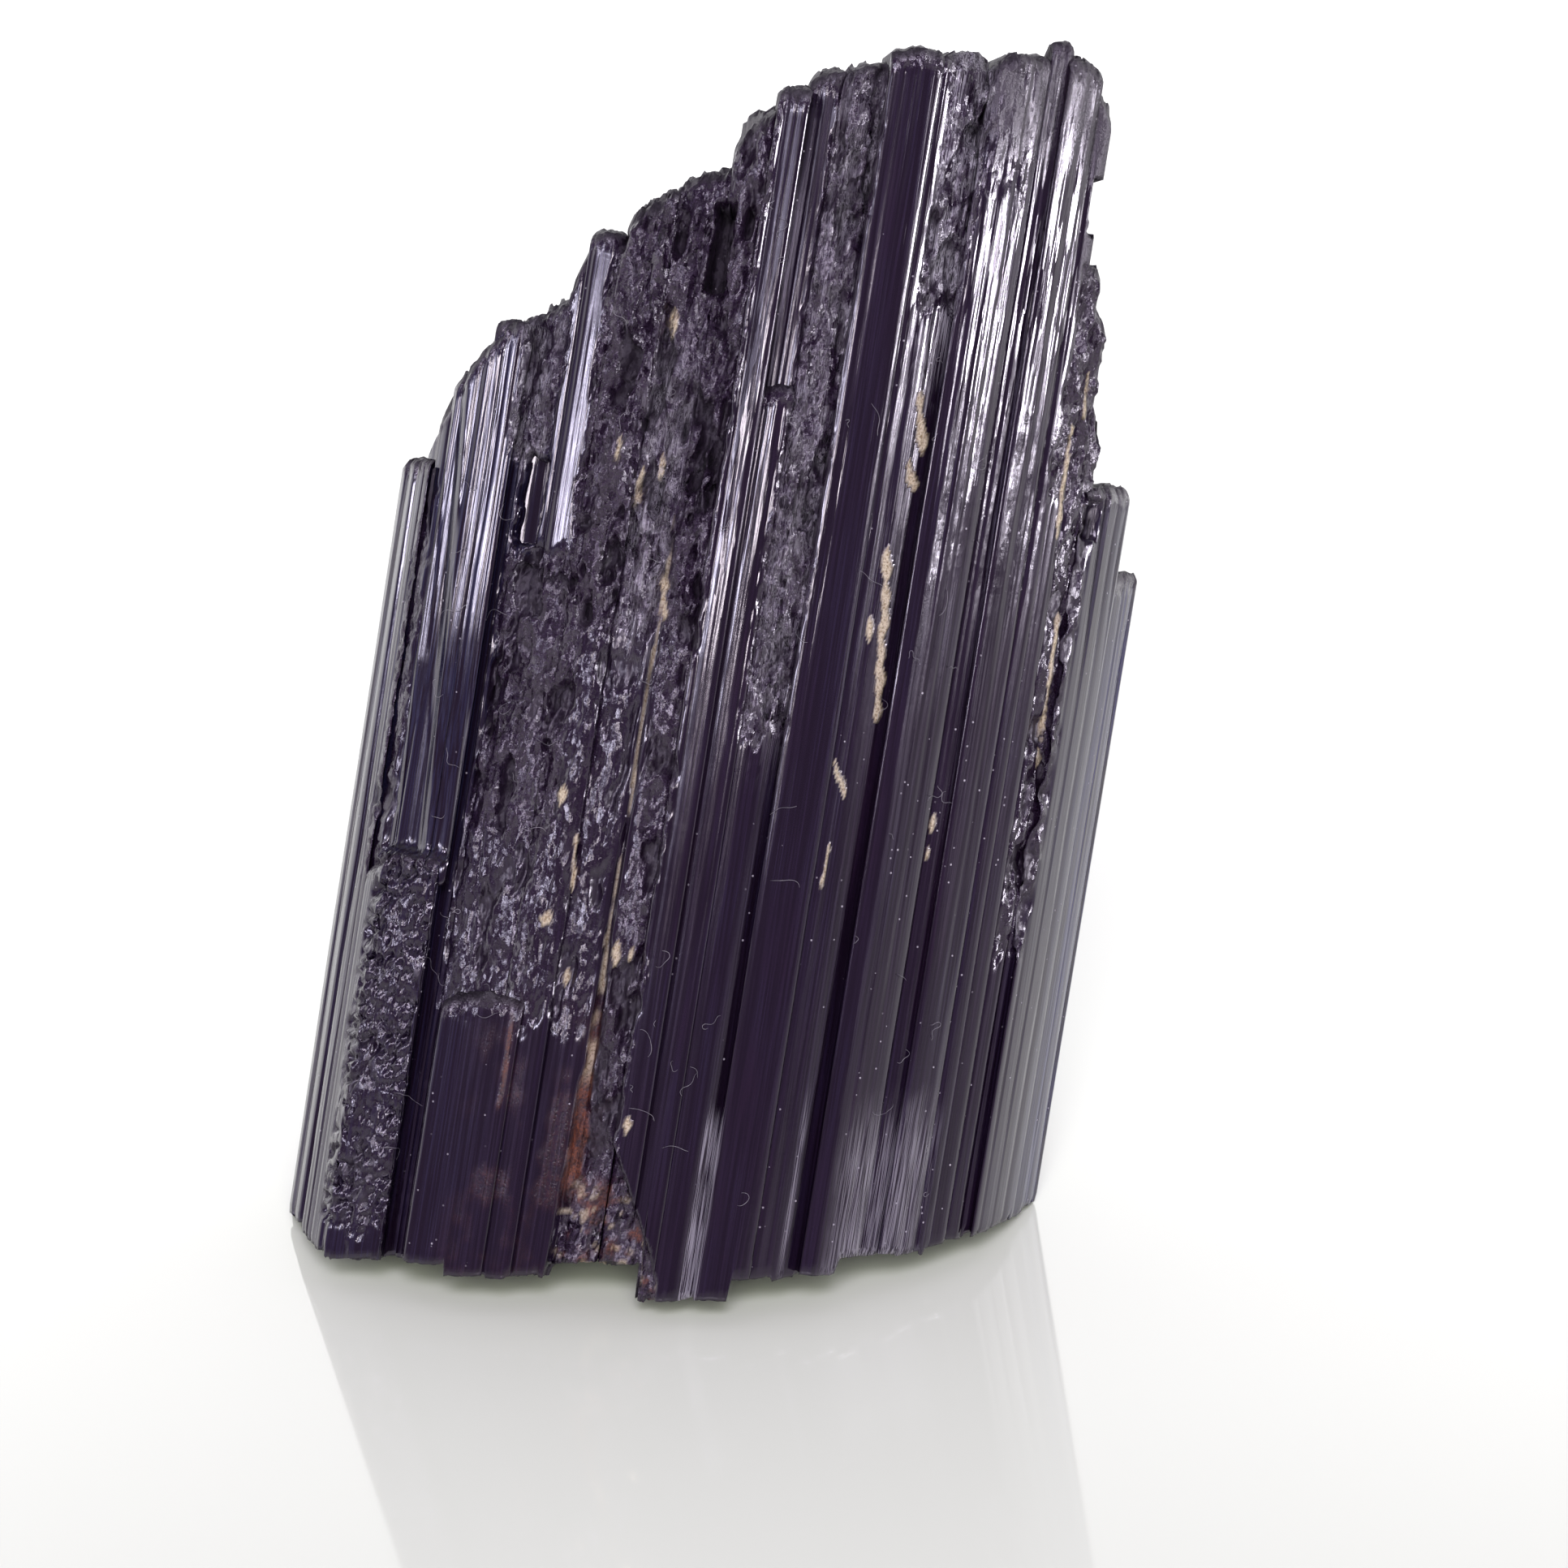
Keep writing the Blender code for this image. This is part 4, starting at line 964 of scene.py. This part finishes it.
    bend = finish.add("ShaderNodeTexNoise", {"Vector": place, "Scale": 1.5, "Detail": 3.0})
    bent = plus(finish, place, facets_bend(finish, bend))
    slivers = finish.stretched(bent, (1.0, 1.0, 0.45))
    tilt = plus(finish, facets(finish, slivers, 1.5, finish.math("MULTIPLY", broken, 0.85)),
                facets(finish, slivers, 4.8, finish.math("MULTIPLY", broken, 0.75)))
    wide, thin = finish.math("MULTIPLY", streaky, 0.2), finish.math("MULTIPLY", streaky, 0.34)
    tilt = plus(finish, tilt, streaks(finish, place, (3.6, 3.6, 0.14), wide))
    tilt = plus(finish, tilt, streaks(finish, place, (9.0, 9.0, 0.5), thin))
    normal = plus(finish, finish.add("ShaderNodeNewGeometry").outputs["Normal"], tilt)
    straight = finish.add("ShaderNodeVectorMath", operation="NORMALIZE")
    finish.feed(straight.inputs[0], normal)

    striae = finish.math("ADD", hair, finish.math("MULTIPLY", thread, 0.35))
    striae = finish.math("MULTIPLY", striae, finish.between(broken, 0.0, 1.0, 0.012, 0.008))
    striae = finish.math("MULTIPLY", striae, finish.between(cloud, 0.38, 0.62, 0.3, 1.0))
    grain = finish.math("MULTIPLY", grit, finish.between(broken, 0.0, 1.0, 0.003, 0.07))
    crust = finish.math("MULTIPLY", crumbs, finish.math("MAXIMUM", soil, worn_and_shade))
    height = finish.math("ADD", finish.math("ADD", striae, grain),
                         finish.math("MULTIPLY", crust, 0.1))
    bump = finish.add("ShaderNodeBump", {"Height": height, "Strength": 1.0, "Distance": MM,
                                         "Normal": straight.outputs[0]})
    finish.feed(finish.shader.inputs["Normal"], bump.outputs[0])
    return finish.material


def facets_bend(finish, noise):
    """The noise's colour, centred and scaled: how far the cells' borders are bent, in mm."""
    centred = finish.add("ShaderNodeVectorMath", operation="SUBTRACT")
    finish.feed(centred.inputs[0], noise.outputs["Color"])
    centred.inputs[1].default_value = (0.5, 0.5, 0.5)
    scaled = finish.add("ShaderNodeVectorMath", operation="SCALE")
    finish.feed(scaled.inputs[0], centred.outputs[0])
    scaled.inputs["Scale"].default_value = 0.6
    return scaled.outputs[0]


def floor_finish():
    """White glossy acrylic with a faint unevenness in its gloss."""
    finish = Finish("white_acrylic")
    place = finish.add("ShaderNodeTexCoord").outputs["Object"]
    haze = finish.noise(place, 14.0, 3.0)
    finish.feed(finish.shader.inputs["Base Color"], (0.86, 0.86, 0.865, 1.0))
    finish.feed(finish.shader.inputs["Roughness"], finish.between(haze, 0.3, 0.7, 0.045, 0.06))
    finish.shader.inputs["IOR"].default_value = 1.9
    return finish.material


def floor():
    """A flat square of acrylic under the chunk."""
    half = 4.0
    mesh = bpy.data.meshes.new("floor")
    corners = [(-half, -half, 0), (half, -half, 0), (half, half, 0), (-half, half, 0)]
    mesh.from_pydata(corners, [], [(0, 1, 2, 3)])
    mesh.materials.append(floor_finish())
    piece = bpy.data.objects.new("floor", mesh)
    bpy.context.scene.collection.objects.link(piece)


def softbox(name, place, aim, size, power, colour=(1, 1, 1), shape="RECTANGLE"):
    """A rectangular soft light at a place in mm, facing a place in mm."""
    light = bpy.data.lights.new(name, "AREA")
    light.shape, light.size, light.size_y = shape, size[0] * MM, size[1] * MM
    light.energy, light.color = power, colour
    lamp = bpy.data.objects.new(name, light)
    way = Vector(aim) - Vector(place)
    lamp.matrix_world = (Matrix.Translation(Vector(place) * MM)
                         @ way.to_track_quat("-Z", "Y").to_matrix().to_4x4())
    bpy.context.scene.collection.objects.link(lamp)
    return lamp


def glint(name, azimuth, height, size, strength, lit, colour=(1, 1, 1)):
    """A soft light for the gloss of the chunk alone, 0.6 m away: azimuth to the right of
    the front and height above the horizon in degrees, strength as its face's radiance."""
    turn, rise, away = math.radians(azimuth), math.radians(height), 600.0
    place = (away * math.cos(rise) * math.sin(turn), -away * math.cos(rise) * math.cos(turn),
             35.0 + away * math.sin(rise))
    power = strength * math.pi * size[0] * size[1] * MM * MM
    lamp = softbox(name, place, (0, 0, 35), size, power, colour)
    lamp.visible_diffuse = False
    lamp.light_linking.receiver_collection = lit


def world_ramp(world, value, low, high):
    """0 where the value is at low, 1 at high, 3t^2 - 2t^3 between."""
    node = world.node_tree.nodes.new("ShaderNodeMapRange")
    node.interpolation_type = "SMOOTHSTEP"
    node.inputs["From Min"].default_value, node.inputs["From Max"].default_value = low, high
    world.node_tree.links.new(value, node.inputs["Value"])
    return node.outputs[0]


def world_mix(world, share, a, b):
    """A colour between a and b, each a colour or another node's output."""
    node = world.node_tree.nodes.new("ShaderNodeMix")
    node.data_type = "RGBA"
    world.node_tree.links.new(share, node.inputs["Factor"])
    for index, value in ((6, a), (7, b)):
        if isinstance(value, bpy.types.NodeSocket):
            world.node_tree.links.new(value, node.inputs[index])
        else:
            node.inputs[index].default_value = value
    return node.outputs[2]


def lint_finish():
    """Off-white cotton, mottled along its length."""
    finish = Finish("cotton_lint")
    place = finish.add("ShaderNodeTexCoord").outputs["Object"]
    mottle = finish.between(finish.noise(place, 900.0, 2.0), 0.35, 0.65)
    colour = finish.mix(mottle, (0.16, 0.15, 0.18, 1.0), (0.50, 0.48, 0.52, 1.0))
    finish.feed(finish.shader.inputs["Base Color"], colour)
    finish.feed(finish.shader.inputs["Roughness"], finish.between(mottle, 0.0, 1.0, 0.6, 0.8))
    return finish.material


def studio(pieces):
    """A bright low band behind, a dim lavender room in front, and the soft lights."""
    world = bpy.data.worlds.new("studio")
    bpy.context.scene.world = world
    world.use_nodes = True
    nodes, links = world.node_tree.nodes, world.node_tree.links
    back = nodes["Background"]
    way = nodes.new("ShaderNodeTexCoord")
    split = nodes.new("ShaderNodeSeparateXYZ")
    links.new(way.outputs["Generated"], split.inputs[0])
    behind = world_ramp(world, split.outputs["Y"], -0.35, 0.12)
    low = world_ramp(world, split.outputs["Z"], 0.62, 0.42)
    sky = world_mix(world, low, (0.22, 0.22, 0.23, 1.0), (2.09, 2.09, 2.09, 1.0))
    room = world_mix(world, behind, (0.232, 0.172, 0.284, 1.0), sky)
    seen = nodes.new("ShaderNodeLightPath")
    shown = world_mix(world, seen.outputs["Is Camera Ray"], room, (1.0, 1.0, 1.0, 1.0))
    links.new(shown, back.inputs["Color"])
    softbox("ceiling_light", (0, 120, 900), (0, 0, 20), (900, 900), 0.5)
    softbox("front_fill", (0, -620, 560), (0, 0, 0), (260, 200), 2.7, (0.95, 0.90, 1.0))
    lit = bpy.data.collections.new("lit_by_windows")
    for piece in pieces:
        lit.objects.link(piece)
    glint("right_window", 62, 16.0, (330, 230), 5.4, lit)
    glint("right_pane", 64, 8.3, (140, 46), 102.0, lit)
    glint("left_window", -42, 24.0, (220, 170), 2.5, lit, (0.86, 0.88, 1.0))
    glint("left_pane", -43, 20.0, (80, 64), 30.0, lit, (0.90, 0.92, 1.0))
    glint("front_window", -17, 21.2, (80, 52), 34.0, lit, (1.0, 0.97, 0.93))
    ground = bpy.data.collections.new("ground")
    ground.objects.link(bpy.data.objects["floor"])
    floor_fill = softbox("floor_fill", (0, -900, 520), (0, 0, 0), (700, 500), 7.4,
                         (0.905, 1.0, 0.70))
    floor_fill.visible_glossy = False
    floor_fill.light_linking.receiver_collection = ground


def camera():
    """In front of the chunk, 20 degrees down, 81 mm lens, 0.17 m away."""
    data = bpy.data.cameras.new("camera")
    data.lens, data.sensor_width = 81.19, 36.0
    data.clip_start = 0.01
    view = bpy.data.objects.new("camera", data)
    view.location = Vector((3.593, -162.86, 78.41)) * MM
    view.rotation_euler = (math.radians(70.0), 0.0, 0.0)
    bpy.context.scene.collection.objects.link(view)
    bpy.context.scene.camera = view


def main():
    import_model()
    bpy.context.scene.view_settings.view_transform = "Standard"
    pieces = crystal(schorl_finish()) + [lint(lint_finish())]
    floor()
    studio(pieces)
    camera()


main()
